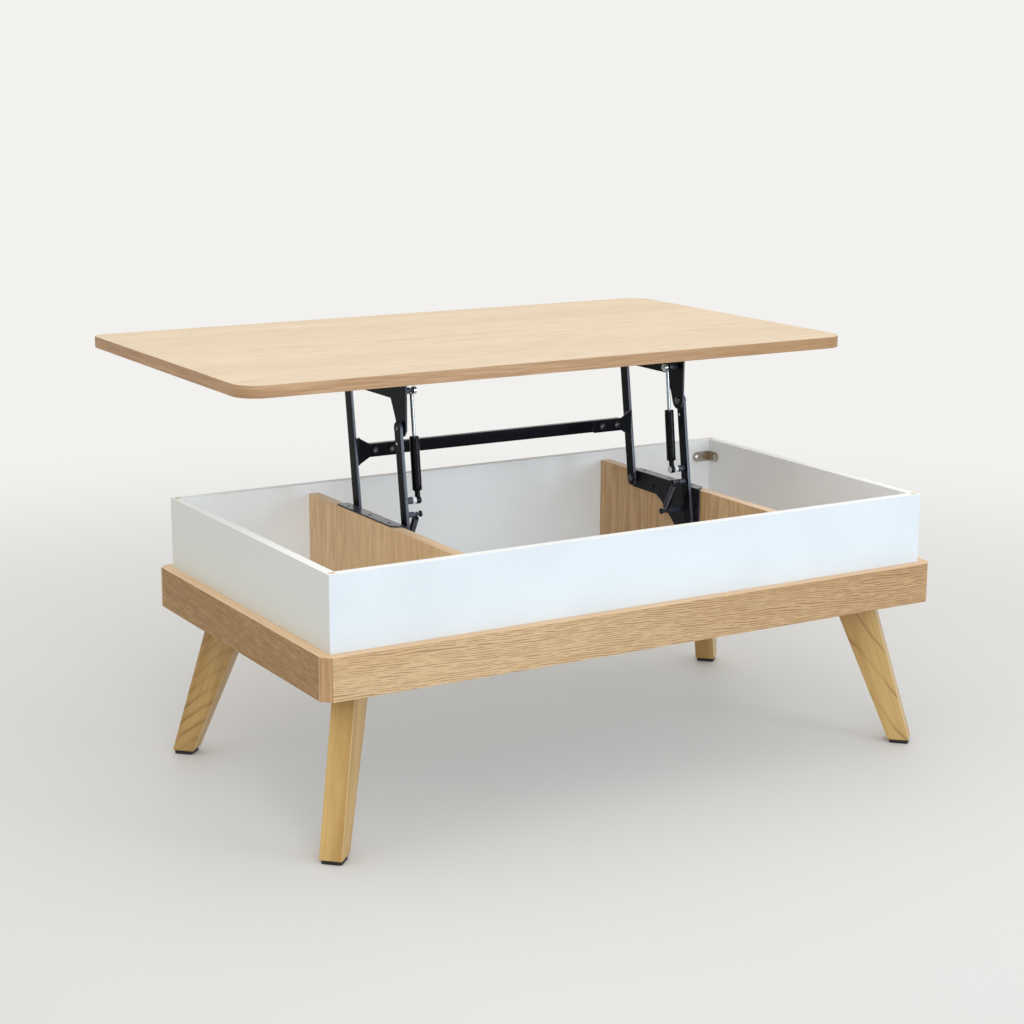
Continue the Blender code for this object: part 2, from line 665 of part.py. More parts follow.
def cross_bar_bolt(name, x):
    """A flanged bolt through the tab and the front wall of the tube."""
    head = WASHER_T + BOLT_HEAD_H
    shank = CROSS_BAR_Y + CROSS_WALL + BOLT_REACH - CROSS_TAB_Y
    profile = [(0, 0), (0, HEAD_CROWN * BOLT_HEAD_R), (BOLT_DOME * BOLT_HEAD_H, BOLT_HEAD_R),
               (BOLT_HEAD_H, BOLT_HEAD_R), (BOLT_HEAD_H, WASHER_R), (head, WASHER_R), (head, BOLT_R),
               (head + shank, BOLT_R), (head + shank, 0)]
    start = at(x, (CROSS_TAB_Y - TOUCH - head, CROSS_BAR_Z))
    return turned(name, profile, start, start + Vector((0, 1, 0)), "black_steel")


# ---------------------------------------------------------------- lift mechanism: front arms
def make_front_arms():
    """Each front arm carries the stud of its gas spring and the stud of its assist spring."""
    pieces = []
    pin_hole = PIN_R + PIN_CLEARANCE
    holes = [circle((0, 0), pin_hole), circle((0, ARM_LENGTH), pin_hole)]
    outline = bar_outline(ARM_LENGTH, FRONT_ARM_W, 0.0, FRONT_ARM_LOBE_R)
    for name, side in SIDES:
        bar = side_plate("bar", outline, ARM_X, ARM_T, side, "black_steel", holes, FRONT_BASE, ARM_LEAN)
        studs = [lower_gas_stud(side), spring_stud(SPRING_UPPER, side, ARM_X)]
        pieces.append(combine("front_arm_" + name, bar, studs, "UNION"))
    return pieces


def lower_gas_stud(side):
    """A stepped stud: a bush against the arm, a collar, then the journal of the eye."""
    root = ARM_X + STUD_ROOT
    collar = root - GAS_BUSH_X
    journal = root - (GAS_X + GAS_LOWER_EYE_T / 2 + TOUCH)
    tip = root - (GAS_X - GAS_LOWER_EYE_T / 2 - TOUCH)
    profile = [(0, 0), (0, GAS_BUSH_R), (collar, GAS_BUSH_R), (collar, GAS_COLLAR_R),
               (journal, GAS_COLLAR_R), (journal, GAS_JOURNAL_R), (tip, GAS_JOURNAL_R), (tip, 0)]
    return turned("stud", profile, at(side * root, GAS_LOWER), at(0, GAS_LOWER), "black_steel")


# ---------------------------------------------------------------- lift mechanism: top brackets
def make_top_brackets():
    """A folded plate under the top: its lip screws up into the panel."""
    pieces = []
    pin_hole = PIN_R + PIN_CLEARANCE
    holes = [circle(FRONT_TOP, pin_hole), circle(REAR_TOP, pin_hole)]
    lip_z = TOP_UNDERSIDE - TOUCH - TOP_LIP_T / 2
    low_y, high_y = TOP_LIP_Y
    for name, side in SIDES:
        wall = side_plate("wall", top_bracket_outline(), TOP_BRACKET_X, TOP_BRACKET_T, side,
                          "black_steel", holes)
        near = side * (TOP_BRACKET_X + FOLD_OVERLAP)
        far = side * TOP_LIP_X
        lip_outline = [(near, low_y), (far, low_y), (far, high_y), (near, high_y)]
        screw_holes = [circle((side * TOP_LIP_SCREW_X, y), SCREW_HOLE_R, 12) for y in TOP_LIP_SCREW_Y]
        lip = plate("lip", lip_outline, TOP_LIP_T, Matrix.Translation((0, BASE_Y, lip_z)), "black_steel",
                    screw_holes)
        root = at(side * (TOP_BRACKET_X + STUD_ROOT), GAS_UPPER)
        stud = disc("stud", root, at(side * GAS_PIN_END_X, GAS_UPPER), GAS_UPPER_PIN_R, "black_steel")
        pieces.append(combine("top_bracket_" + name, wall, [lip, stud], "UNION"))
        for end_name, pivot in (("front", FRONT_TOP), ("rear", REAR_TOP)):
            pieces.append(pivot_pin("top_pin_" + end_name + "_" + name, pivot, side, TOP_BRACKET_X,
                                    TOP_BRACKET_X + TOP_BRACKET_T, ARM_X, ARM_X + ARM_T))
    return pieces


def top_bracket_outline():
    """Straight along the top, a round end at the rear pivot, a dropped lobe at the front one."""
    top = TOP_UNDERSIDE - TOUCH
    y, z = FRONT_TOP
    lobe = arc((y, z), TOP_BRACKET_LOBE_R, math.radians(-165), math.radians(-20), 10)
    rear_y, rear_z = REAR_TOP
    tail = arc((rear_y, rear_z), TOP_BRACKET_TAIL_R, math.radians(-90), math.radians(25), 8)
    near = TOP_LIP_Y[0]
    near_edge = [(near, top), (near, z - TOP_BRACKET_NEAR_DROP)]
    return near_edge + [*lobe, *TOP_BRACKET_FLANK, *tail, (TOP_LIP_Y[1], top)]


# ---------------------------------------------------------------- gas springs
def along(start, end, distance):
    """The (Y, Z) point at a distance from start on the line to end."""
    length = math.dist(start, end)
    part = distance / length
    return (start[0] + part * (end[0] - start[0]), start[1] + part * (end[1] - start[1]))


def eye(point, middle_x, width, side, slot):
    hole = [circle((0, 0), GAS_JOURNAL_R + PIN_CLEARANCE)]
    ring = circle((0, 0), GAS_EYE_R, 20)
    return side_plate("eye", ring, middle_x - width / 2, width, side, slot, hole, point)


def make_gas_springs():
    tubes = []
    rods = []
    length = math.dist(GAS_LOWER, GAS_UPPER)
    r = GAS_TUBE_R
    end_r = r - TINY_CHAMFER
    bore_r = GAS_ROD_R + PIN_CLEARANCE
    body = [(GAS_EYE_NECK, 0), (GAS_EYE_NECK, GAS_NECK_R), (GAS_TUBE_START, GAS_NECK_R),
            (GAS_TUBE_START, end_r), (GAS_TUBE_START + TINY_CHAMFER, r), (GAS_TUBE_END - TINY_CHAMFER, r),
            (GAS_TUBE_END, end_r), (GAS_TUBE_END, bore_r), (GAS_BORE_START, bore_r), (GAS_BORE_START, 0)]
    stem = [(GAS_ROD_START, 0), (GAS_ROD_START, GAS_ROD_R), (length - GAS_EYE_NECK, GAS_ROD_R),
            (length - GAS_EYE_NECK, 0)]
    for name, side in SIDES:
        start = at(side * GAS_X, GAS_LOWER)
        end = at(side * GAS_X, GAS_UPPER)
        tube = turned("tube", body, start, end, "black_steel", 20)
        rod = turned("rod", stem, start, end, "chrome", 16)
        lower = eye(GAS_LOWER, GAS_X, GAS_LOWER_EYE_T, side, "black_steel")
        upper = eye(GAS_UPPER, GAS_UPPER_EYE_X, GAS_UPPER_EYE_T, side, "chrome")
        tubes.append(combine("gas_tube_" + name, tube, [lower], "UNION"))
        rods.append(combine("gas_rod_" + name, rod, [upper], "UNION"))
    return tubes, rods


# ---------------------------------------------------------------- assist springs
def make_assist_springs():
    """Close-wound springs, each split at its middle so its two halves can part."""
    length = math.dist(SPRING_LOWER, SPRING_UPPER)
    middle = length / 2
    halves = []
    for half, first, last in (("lower", SPRING_END, middle - TOUCH / 2),
                              ("upper", middle + TOUCH / 2, length - SPRING_END)):
        coils = []
        for name, side in SIDES:
            start = at(side * SPRING_X, along(SPRING_LOWER, SPRING_UPPER, first))
            end = at(side * SPRING_X, along(SPRING_LOWER, SPRING_UPPER, last))
            coils.append(disc("assist_spring_" + half + "_" + name, start, end, SPRING_R, "black_steel"))
        halves.append(coils)
    return halves


# ---------------------------------------------------------------- assembly
def main():
    clear_scene()
    bpy.context.scene.collection.children.link(MODEL)
    make_skirt()
    make_box()
    make_corner_brackets()
    make_legs()
    make_base_plates()
    rear_arms = make_rear_arms()
    front_arms = make_front_arms()
    top = make_top() + make_top_brackets()
    tubes, rods = make_gas_springs()
    lower_springs, upper_springs = make_assist_springs()
    moving = ((rear_arms, REAR_BASE), (front_arms, FRONT_BASE), (top, REAR_TOP), (tubes, GAS_LOWER),
              (rods, GAS_UPPER), (lower_springs, SPRING_LOWER), (upper_springs, SPRING_UPPER))
    for pieces, pivot in moving:
        for piece in pieces:
            set_origin(piece, at(0, pivot))


main()
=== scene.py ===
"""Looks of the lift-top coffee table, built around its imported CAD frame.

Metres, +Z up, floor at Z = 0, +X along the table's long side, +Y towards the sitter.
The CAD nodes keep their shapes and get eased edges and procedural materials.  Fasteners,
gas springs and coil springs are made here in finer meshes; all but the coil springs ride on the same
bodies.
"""
import math

import bmesh
import bpy
from mathutils import Matrix, Vector


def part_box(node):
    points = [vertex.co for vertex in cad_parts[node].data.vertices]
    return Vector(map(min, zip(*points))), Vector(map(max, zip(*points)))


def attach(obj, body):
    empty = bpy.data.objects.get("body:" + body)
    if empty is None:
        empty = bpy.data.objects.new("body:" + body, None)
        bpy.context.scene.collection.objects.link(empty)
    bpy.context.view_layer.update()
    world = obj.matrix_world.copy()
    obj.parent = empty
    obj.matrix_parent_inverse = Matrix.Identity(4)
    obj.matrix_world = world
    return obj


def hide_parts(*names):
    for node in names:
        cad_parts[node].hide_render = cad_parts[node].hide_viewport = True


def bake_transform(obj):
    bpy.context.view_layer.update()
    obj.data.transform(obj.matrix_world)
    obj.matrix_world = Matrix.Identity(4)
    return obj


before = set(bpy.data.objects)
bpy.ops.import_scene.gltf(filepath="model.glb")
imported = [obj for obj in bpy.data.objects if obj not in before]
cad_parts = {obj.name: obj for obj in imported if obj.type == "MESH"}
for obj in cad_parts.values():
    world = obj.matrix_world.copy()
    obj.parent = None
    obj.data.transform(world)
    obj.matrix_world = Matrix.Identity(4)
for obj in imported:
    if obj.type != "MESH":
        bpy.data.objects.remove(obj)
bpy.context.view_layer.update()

SIDES = (("left", -1), ("right", 1))
ENDS = (("front", -1), ("back", 1))
BASE_Y = (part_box("front_rail")[0].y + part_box("back_rail")[1].y) / 2

# ---------------------------------------------------------------- mechanism, as the CAD has it
# A (Y, Z) point has its Y from the base's middle; an X is on the right-hand side.
REAR_BASE = (0.1535, 0.3975)
FRONT_TOP = (0.0127, 0.5537)
REAR_TOP = (0.18505, 0.61377)
FRONT_BASE = (-0.01885, 0.33743)
FRONT_ARM_RIVET = (0.0131, 0.5298)
ARM_X = (0.2629, 0.2679)
TOP_BRACKET_X = (0.2577, 0.2605)
BASE_PLATE_X = (0.2750, 0.2777)
BASE_PLATE_HOLE = (0.1018, 0.3893)
PIN_R = 0.004

GAS_X = 0.2396
GAS_UPPER_X = 0.2352
GAS_LOWER = (-0.001, 0.4415)
GAS_UPPER = (0.0185, 0.6100)
GAS_TUBE = (0.015, 0.0991)    # its ends, from the lower eye
GAS_BORE_START = 0.0185
GAS_TUBE_R = 0.0075
GAS_ROD_R = 0.003
GAS_EYE_R = 0.006
GAS_JOURNAL_R = 0.0028

SPRING_X = 0.2445
SPRING_LOWER = (0.024, 0.3655)
SPRING_UPPER = (-0.0063, 0.4204)
SPRING_END = 0.007            # least length of a hook
SPRING_R = 0.0055
SPRING_WIRE_R = 0.0007
SPRING_LOOP_R = 0.0034

RIVET_HEAD_H = 0.0020
SHOULDER_R = 0.0075
TURNED_EDGE = 0.0003          # chamfer on turned pieces
TOUCH = 0.0003                # gap left where two pieces meet

BOLT_X = (0.2025, 0.2325)
BOLT_Z = 0.493
TAB_Y = 0.1545


def at(x, point):
    """World place of a (Y from the base's middle, Z) point at some X."""
    return Vector((x, BASE_Y + point[0], point[1]))


# ---------------------------------------------------------------- material kit
def rgb(red, green, blue):
    """A colour given as display values, 0 to 255."""
    linear = []
    for value in (red, green, blue):
        c = value / 255
        linear.append(c / 12.92 if c <= 0.04045 else ((c + 0.055) / 1.055) ** 2.4)
    return (*linear, 1.0)


class Look:
    """A material being built; a call that adds a node returns its output socket."""

    def __init__(self, name, **inputs):
        self.material = bpy.data.materials.new(name)
        self.material.use_nodes = True
        self.tree = self.material.node_tree
        self.shader = self.tree.nodes["Principled BSDF"]
        for key, value in inputs.items():
            self.set(key.replace("_", " ").title().replace("Ior", "IOR"), value)

    def set(self, key, value):
        self.plug(self.shader.inputs[key], value)

    def plug(self, socket, value):
        if isinstance(value, bpy.types.NodeSocket):
            self.tree.links.new(value, socket)
        else:
            socket.default_value = value

    def node(self, kind, inputs=None, output=0, **settings):
        made = self.tree.nodes.new("ShaderNode" + kind)
        for key, value in settings.items():
            setattr(made, key, value)
        for key, value in (inputs or {}).items():
            self.plug(made.inputs[key], value)
        return made.outputs[output]

    def place(self, scale=(1, 1, 1), shift=(0, 0, 0), turn=0.0, source=None):
        """Object coordinates, or a given source, turned about Z and shifted, then scaled."""
        source = source or self.node("TexCoord", output="Object")
        if turn or any(shift):
            moved = {"Vector": source, "Location": shift, "Rotation": (0, 0, turn)}
            source = self.node("Mapping", moved, vector_type="TEXTURE")
        return self.node("Mapping", {"Vector": source, "Scale": scale})

    def noise(self, coords, detail=2.0, distortion=0.0):
        inputs = {"Vector": coords, "Scale": 1.0, "Detail": detail, "Distortion": distortion}
        return self.node("TexNoise", inputs)

    def part(self, coords, axis):
        return self.node("SeparateXYZ", {"Vector": coords}, output=axis)

    def normal(self, axis):
        return self.part(self.node("TexCoord", output="Normal"), axis)

    def math(self, operation, a, b=0.0):
        return self.node("Math", {0: a, 1: b}, operation=operation)

    def away_from(self, value, middle):
        """How far a value is from a middle one, either way."""
        return self.math("ABSOLUTE", self.math("SUBTRACT", value, middle))

    def band(self, value, low, high, to_low=0.0, to_high=1.0):
        """Maps low..high to to_low..to_high, smoothly and held at the ends."""
        return self.node("MapRange", {"Value": value, 1: low, 2: high, 3: to_low, 4: to_high},
                         interpolation_type="SMOOTHSTEP")

    def mix(self, factor, a, b):
        """Colour a where the factor is 0, colour b where it is 1."""
        made = self.tree.nodes.new("ShaderNodeMix")
        made.data_type = "RGBA"
        self.plug(made.inputs[0], factor)
        self.plug(made.inputs[6], a)
        self.plug(made.inputs[7], b)
        return made.outputs[2]

    def finish(self, colour, roughness=None, height=None, depth=0.0001, strength=0.5):
        self.set("Base Color", colour)
        if roughness is not None:
            self.set("Roughness", roughness)
        if height is not None:
            bump = {"Height": height, "Distance": depth, "Strength": strength}
            self.set("Normal", self.node("Bump", bump))
        return self.material


def stretched(axis, along, across):
    """A texture scale for grain that runs along an axis, in cells per metre."""
    scale = [across] * 3
    scale[axis] = along
    return tuple(scale)


def tinted(colour, shade):
    return (*(c * s for c, s in zip(colour, shade)), 1.0)


# ---------------------------------------------------------------- materials
PRINTED_OAK = ((226, 197, 157), (208, 174, 130), (146, 108, 66))      # light, dark and pore
RINGS_PER_METRE = 55.0
PORE_STRENGTH = 0.72
OAK_LEDGE = rgb(240, 210, 175)
# painted shade: the long rails' colour darkens towards their +X ends, as if less lit there
FAR_END_PAINTED_SHADE = (0.76, 0.69, 0.60)    # tint multiplied in towards the long rails' +X ends


def oak_grain(look, axis, colours, shift, pitch=0.0, size=1.0, sway=0.010, slope=0.0, figure=0.0,
              contrast=1.0):
    """Colour and height of printed oak along an axis.

    With a pitch, the pores lie along wavy, broken lines that far apart; without one they are
    dashes.  size scales the fine marks, sway and slope bend the grain off its axis, and figure is
    the strength of the broad cathedral rings.
    """
    light, dark, pore = colours
    place = look.place((1, 1, 1), shift)
    drift = look.noise(look.place(stretched(axis, 3.5, 22), source=place), 2)
    aside = look.math("MULTIPLY", drift, sway)
    aside = look.math("SUBTRACT", aside, look.math("MULTIPLY", look.part(place, axis), slope))
    bend = look.node("CombineXYZ", {lane: aside for lane in range(3) if lane != axis})
    bent = look.node("VectorMath", {0: place, 1: bend}, operation="ADD")
    across = look.math("ADD", look.part(bent, (axis + 1) % 3), look.part(bent, (axis + 2) % 3))
    tone = look.noise(look.place(stretched(axis, 0.8, 14), source=bent), 3)
    streak = look.noise(look.place(stretched(axis, 7 / size, 260 / size), source=bent), 3)
    specks = look.noise(look.place(stretched(axis, 45 / size, 700 / size), source=bent), 2)
    if pitch:
        wander = look.noise(look.place(stretched(axis, 13, 90), source=bent), 1)
        phase = look.math("ADD", look.math("DIVIDE", across, pitch), look.math("MULTIPLY", wander, 1.6))
        away = look.away_from(look.math("FRACT", phase), 0.5)
        breaks = look.noise(look.place(stretched(axis, 34, 300), source=bent), 2)
        unbroken = look.band(breaks, 0.36, 0.54, 0.1, 1.0)
        line = look.math("MULTIPLY", look.band(away, 0.05, 0.28, 1.0, 0.0), unbroken)
        line = look.math("MAXIMUM", line, look.band(specks, 0.54, 0.68, 0.0, 0.4))
    else:
        dashes = look.noise(look.place(stretched(axis, 30 / size, 430 / size), source=bent), 1)
        line = look.math("MAXIMUM", look.band(dashes, 0.50, 0.64), look.band(specks, 0.52, 0.68, 0.0, 0.6))
    colour = look.mix(look.band(tone, 0.35, 0.65, 0.0, 0.6), dark, light)
    colour = look.mix(look.band(streak, 0.42, 0.64, 0.0, 0.5 * contrast), colour, dark)
    if figure:
        swayed = look.math("MULTIPLY", drift, 1.6)
        wide = look.math("ADD", look.math("MULTIPLY", across, RINGS_PER_METRE), swayed)
        ring = look.away_from(look.math("FRACT", wide), 0.5)
        colour = look.mix(look.band(ring, 0.0, 0.40, figure, 0.0), colour, pore)
    dash = look.math("MULTIPLY", line, PORE_STRENGTH * contrast)
    return look.mix(dash, colour, pore), dash


def make_top_laminate():
    """Pale oak on top, a browner wood-strip band round the edge, and grey underneath."""
    look = Look("top_laminate", specular_ior_level=0.35)
    colours = (rgb(236, 216, 187), rgb(226, 203, 172), rgb(206, 179, 144))
    face, dash = oak_grain(look, 0, colours, (0, 0, 0), size=2.2, sway=0.03, contrast=0.55)
    band_streak = look.noise(look.place((12, 12, 560)), 3, 0.3)
    band_tone = look.noise(look.place((4, 4, 90)), 2)
    edge = look.mix(look.band(band_streak, 0.36, 0.66), rgb(178, 139, 102), rgb(206, 168, 130))
    edge = look.mix(look.band(band_tone, 0.4, 0.7, 0.0, 0.35), edge, rgb(162, 124, 88))
    far = look.band(look.part(look.place(), 0), 0.0, 0.5, 0.0, 0.6)
    edge = look.mix(far, edge, rgb(172, 132, 88))
    up = look.normal(2)
    colour = look.mix(look.band(up, 0.80, 0.97), edge, face)
    # painted highlight: a lighter colour along the top's rounded upper edge
    lip = look.math("MULTIPLY", look.band(up, 0.25, 0.55), look.band(up, 0.99, 0.90))
    colour = look.mix(look.math("MULTIPLY", lip, 0.8), colour, rgb(240, 222, 194))
    colour = look.mix(look.band(up, -0.6, -0.9), colour, rgb(192, 187, 180))
    roughness = look.band(dash, 0.0, 0.75, 0.50, 0.60)
    return look.finish(colour, roughness, dash, 0.00005, 0.35)


def make_oak_laminate(name, axis, shift, shade=(1.0, 1.0, 1.0), edge=rgb(230, 195, 154), **grain):
    """Printed oak along an axis, with striped end grain on the chamfers and a paler upper edge."""
    look = Look(name, specular_ior_level=0.4)
    colours = [tinted(rgb(*tone), shade) for tone in PRINTED_OAK]
    face, dash = oak_grain(look, axis, colours, shift, **grain)
    # painted shade: the long rails get darker towards their +X ends
    if axis == 0:
        shaded = look.node("VectorMath", {0: face, 1: FAR_END_PAINTED_SHADE}, operation="MULTIPLY")
        face = look.mix(look.band(look.part(look.place(), 0), -0.55, 0.5), face, shaded)
    end_streak = look.noise(look.place((520, 520, 9)), 3, 0.3)
    chamfer = look.mix(look.band(end_streak, 0.36, 0.66), rgb(174, 134, 92), rgb(205, 166, 122))
    corner = look.math("ABSOLUTE", look.math("MULTIPLY", look.normal(0), look.normal(1)))
    colour = look.mix(look.band(corner, 0.30, 0.40), face, chamfer)
    edge_streak = look.noise(look.place(stretched(axis if axis < 2 else 1, 8, 420)), 3)
    ledge = look.mix(look.band(edge_streak, 0.35, 0.7, 0.0, 0.5), edge, rgb(200, 158, 114))
    colour = look.mix(look.band(look.normal(2), 0.55, 0.85), colour, ledge)
    roughness = look.band(dash, 0.0, 0.75, 0.42, 0.58)
    return look.finish(colour, roughness, dash, 0.00006, 0.4)


RIM_INSET = 0.010             # from the box's outer faces to where its inner finish starts
DOWEL_INSET = 0.008           # from the box's corners to the raw board at each joint
RAW_BOARD = rgb(214, 190, 140)


def make_white_melamine():
    """Cool white outside; the whiter colour inside and on the rims and the warmer tint of the outer left
    face are painted light; raw board at the rim's corners.
    """
    look = Look("white_melamine")
    look.set("Specular IOR Level", look.band(look.normal(2), 0.5, 0.8, 0.45, 0.12))
    cloud = look.noise(look.place((9, 9, 9)), 3)
    grit = look.noise(look.place((900, 900, 900)), 2)
    colour = look.mix(look.band(cloud, 0.3, 0.7), rgb(222, 229, 234), rgb(227, 234, 239))
    # painted light: up-facing faces such as the rims get a whiter colour, as if lit from above
    colour = look.mix(look.band(look.normal(2), 0.5, 0.8), colour, rgb(252, 252, 250))
    low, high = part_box("front_panel")
    coords = look.node("TexCoord", output="Object")
    from_middle_x = look.math("ABSOLUTE", look.part(coords, 0))
    from_middle_y = look.away_from(look.part(coords, 1), BASE_Y)
    half_depth = BASE_Y - low.y
    within_y = look.math("LESS_THAN", from_middle_y, half_depth - RIM_INSET)
    within_x = look.math("LESS_THAN", from_middle_x, high.x - RIM_INSET)
    # painted light: a whiter colour inside the box, standing in for light reaching the inner faces
    colour = look.mix(look.math("MULTIPLY", within_x, within_y), colour, rgb(250, 252, 253))
    # painted light: the outer left face gets a warmer tint for the warmer light on that side
    painted_left_tint = look.band(look.normal(0), -0.5, -0.9)
    outside_x = look.math("SUBTRACT", 1.0, within_x)
    colour = look.mix(look.math("MULTIPLY", painted_left_tint, outside_x), colour, rgb(227, 229, 223))
    from_end = look.math("SUBTRACT", high.x - DOWEL_INSET, from_middle_x)
    from_side = look.math("SUBTRACT", half_depth - DOWEL_INSET, from_middle_y)
    to_joint = look.node("CombineXYZ", {0: from_end, 1: from_side})
    joint = look.node("VectorMath", {0: to_joint}, output="Value", operation="LENGTH")
    chips = look.math("MULTIPLY", look.noise(look.place((420, 420, 420)), 3), 0.006)
    ragged = look.math("ADD", joint, chips)
    on_rim = look.band(look.part(coords, 2), high.z - 0.0012, high.z - 0.0004)
    raw = look.math("MULTIPLY", look.band(ragged, 0.0095, 0.0075), on_rim)
    colour = look.mix(look.math("MULTIPLY", raw, 0.8), colour, RAW_BOARD)
    roughness = look.band(cloud, 0.3, 0.7, 0.42, 0.50)
    return look.finish(colour, roughness, grit, 0.00003, 0.25)


RING_EDGE = 0.0018            # length over which a growth ring darkens
RING_FADE = 0.0150            # length over which it fades out again
LEG_LEAN = 0.365              # slope of a leg's middle line, inwards per unit of height
LEG_WOOD = ((180, 139, 76), (210, 173, 108))


def make_leg_wood(name, side, end, shade, lines, tilt, bowed, twist):
    """Clear-lacquered solid wood; the figure of each leg is its own.

    Local X runs outwards from the middle of the leg's box, along the diagonal that it leans in.
    """
    look = Look(name, specular_ior_level=0.5, coat_weight=0.25, coat_roughness=0.22)
    low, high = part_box(name)
    middle = ((low.x + high.x) / 2, (low.y + high.y) / 2, 0.0)
    turn = math.atan2(end, side)
    own = look.place((1, 1, 1), middle, turn)
    radial = look.part(own, 0)
    height = look.part(own, 2)
    from_middle = look.math("SUBTRACT", height, high.z / 2)
    plumb = look.math("ADD", radial, look.math("MULTIPLY", from_middle, LEG_LEAN))
    straight = look.node("CombineXYZ", {0: plumb, 1: look.part(own, 1), 2: height})
    fibre = look.noise(look.place((420, 420, 9), source=straight), 3, 0.3)
    tone = look.noise(look.place((26, 26, 3.2), source=straight), 3)
    # shade below 1 darkens the wood: partly the wood's own tone, partly painted shade
    dark, light = (tinted(rgb(*wood), [shade] * 3) for wood in LEG_WOOD)
    colour = look.mix(look.band(tone, 0.32, 0.68), dark, light)
    colour = look.mix(look.band(fibre, 0.4, 0.75, 0.0, 0.28), colour, rgb(160, 118, 62))
    normal = look.node("TexCoord", output="Normal")
    facing = look.node("VectorRotate", {"Vector": normal, "Angle": -turn}, rotation_type="Z_AXIS")
    if lines:
        bend = look.noise(look.place((20, 20, 6), source=straight), 2)
        leaning = look.math("MULTIPLY", plumb, lines * tilt)
        rings = look.math("ADD", look.math("MULTIPLY", height, lines), leaning)
        bow = look.math("MULTIPLY", look.math("MULTIPLY", plumb, plumb), lines * bowed)
        rings = look.math("ADD", look.math("ADD", rings, bow), look.math("MULTIPLY", bend, twist))
        phase = look.math("FRACT", rings)
        fading = look.band(phase, RING_EDGE * lines, RING_FADE * lines, 0.85, 0.0)
        late = look.math("MULTIPLY", look.band(phase, 0.0, RING_EDGE * lines), fading)
        strength = look.band(look.noise(look.place((9, 9, 11), source=straight), 1), 0.38, 0.62, 0.25, 0.9)
        sideways = look.math("ABSOLUTE", look.part(facing, 1))
        wide_face = look.band(sideways, 0.3, 0.8, 0.2, 1.0)
        dark = look.math("MULTIPLY", look.math("MULTIPLY", late, strength), wide_face)
        colour = look.mix(dark, colour, rgb(126, 84, 42))
    # painted highlight: a pale colour on the eased arris between a leg's faces
    arris_highlight = look.math("ABSOLUTE", look.math("MULTIPLY", look.part(facing, 0), look.part(facing, 1)))
    colour = look.mix(look.band(arris_highlight, 0.30, 0.46, 0.0, 0.75), colour, rgb(246, 226, 176))
    roughness = look.band(fibre, 0.3, 0.7, 0.34, 0.46)
    return look.finish(colour, roughness, fibre, 0.00004, 0.3)


COAT_BLACK = (0.0030, 0.0032, 0.0055, 1.0)
COAT_WORN = (0.006, 0.006, 0.009, 1.0)
# painted highlight: lighter colour for faces not square to the dull axis, standing in for reflected light
# on edges
COAT_EDGE_HIGHLIGHT = (0.055, 0.062, 0.088, 1.0)


def make_black_steel(name, dull_axis=0, colour=COAT_BLACK):
    """Powder coat, flattest on faces square to dull_axis and shinier on the others, which also get a
    lighter colour that is a painted highlight.
    """
    look = Look(name, ior=1.45)
    peel = look.noise(look.place((900, 900, 900)), 2)
    patch = look.noise(look.place((60, 60, 60)), 3)
    edge = look.band(look.math("ABSOLUTE", look.normal(dull_axis)), 0.70, 0.40)
    wear_and_highlight = look.mix(look.band(patch, 0.55, 0.8, 0.0, 0.5), colour, COAT_WORN)
    # painted highlight on the edges, over lighter patches of wear
    wear_and_highlight = look.mix(edge, wear_and_highlight, COAT_EDGE_HIGHLIGHT)
    dull = look.band(patch, 0.3, 0.7, 0.24, 0.34)
    gloss = look.math("SUBTRACT", dull, look.math("MULTIPLY", edge, 0.08))
    look.set("Specular IOR Level", look.band(edge, 0.0, 1.0, 0.07, 0.5))
    return look.finish(wear_and_highlight, gloss, peel, 0.00006, 0.2)


def make_metal(name, colour, rough, scale=(300, 300, 300)):
    """Bare or plated metal, a little darker and rougher in patches."""
    look = Look(name, metallic=1.0)
    patch = look.noise(look.place(scale), 3)
    tint = look.mix(look.band(patch, 0.35, 0.75), colour, tinted(colour[:3], [0.78] * 3))
    return look.finish(tint, look.band(patch, 0.3, 0.7, *rough), patch, 0.00002, 0.3)


def make_black_plastic():
    look = Look("black_plastic", specular_ior_level=0.4)
    grain = look.noise(look.place((1400, 1400, 1400)), 2)
    dark, light = ((level, level, level, 1.0) for level in (0.010, 0.022))
    colour = look.mix(look.band(grain, 0.3, 0.7), dark, light)
    return look.finish(colour, look.band(grain, 0.3, 0.7, 0.45, 0.6), grain, 0.00008, 0.5)


def make_smooth_plastic(name, low, high):
    look = Look(name, specular_ior_level=0.4)
    grain = look.noise(look.place((500, 500, 500)), 2)
    colour = look.mix(look.band(grain, 0.3, 0.7), low, high)
    return look.finish(colour, look.band(grain, 0.3, 0.7, 0.4, 0.5), grain, 0.00004, 0.4)


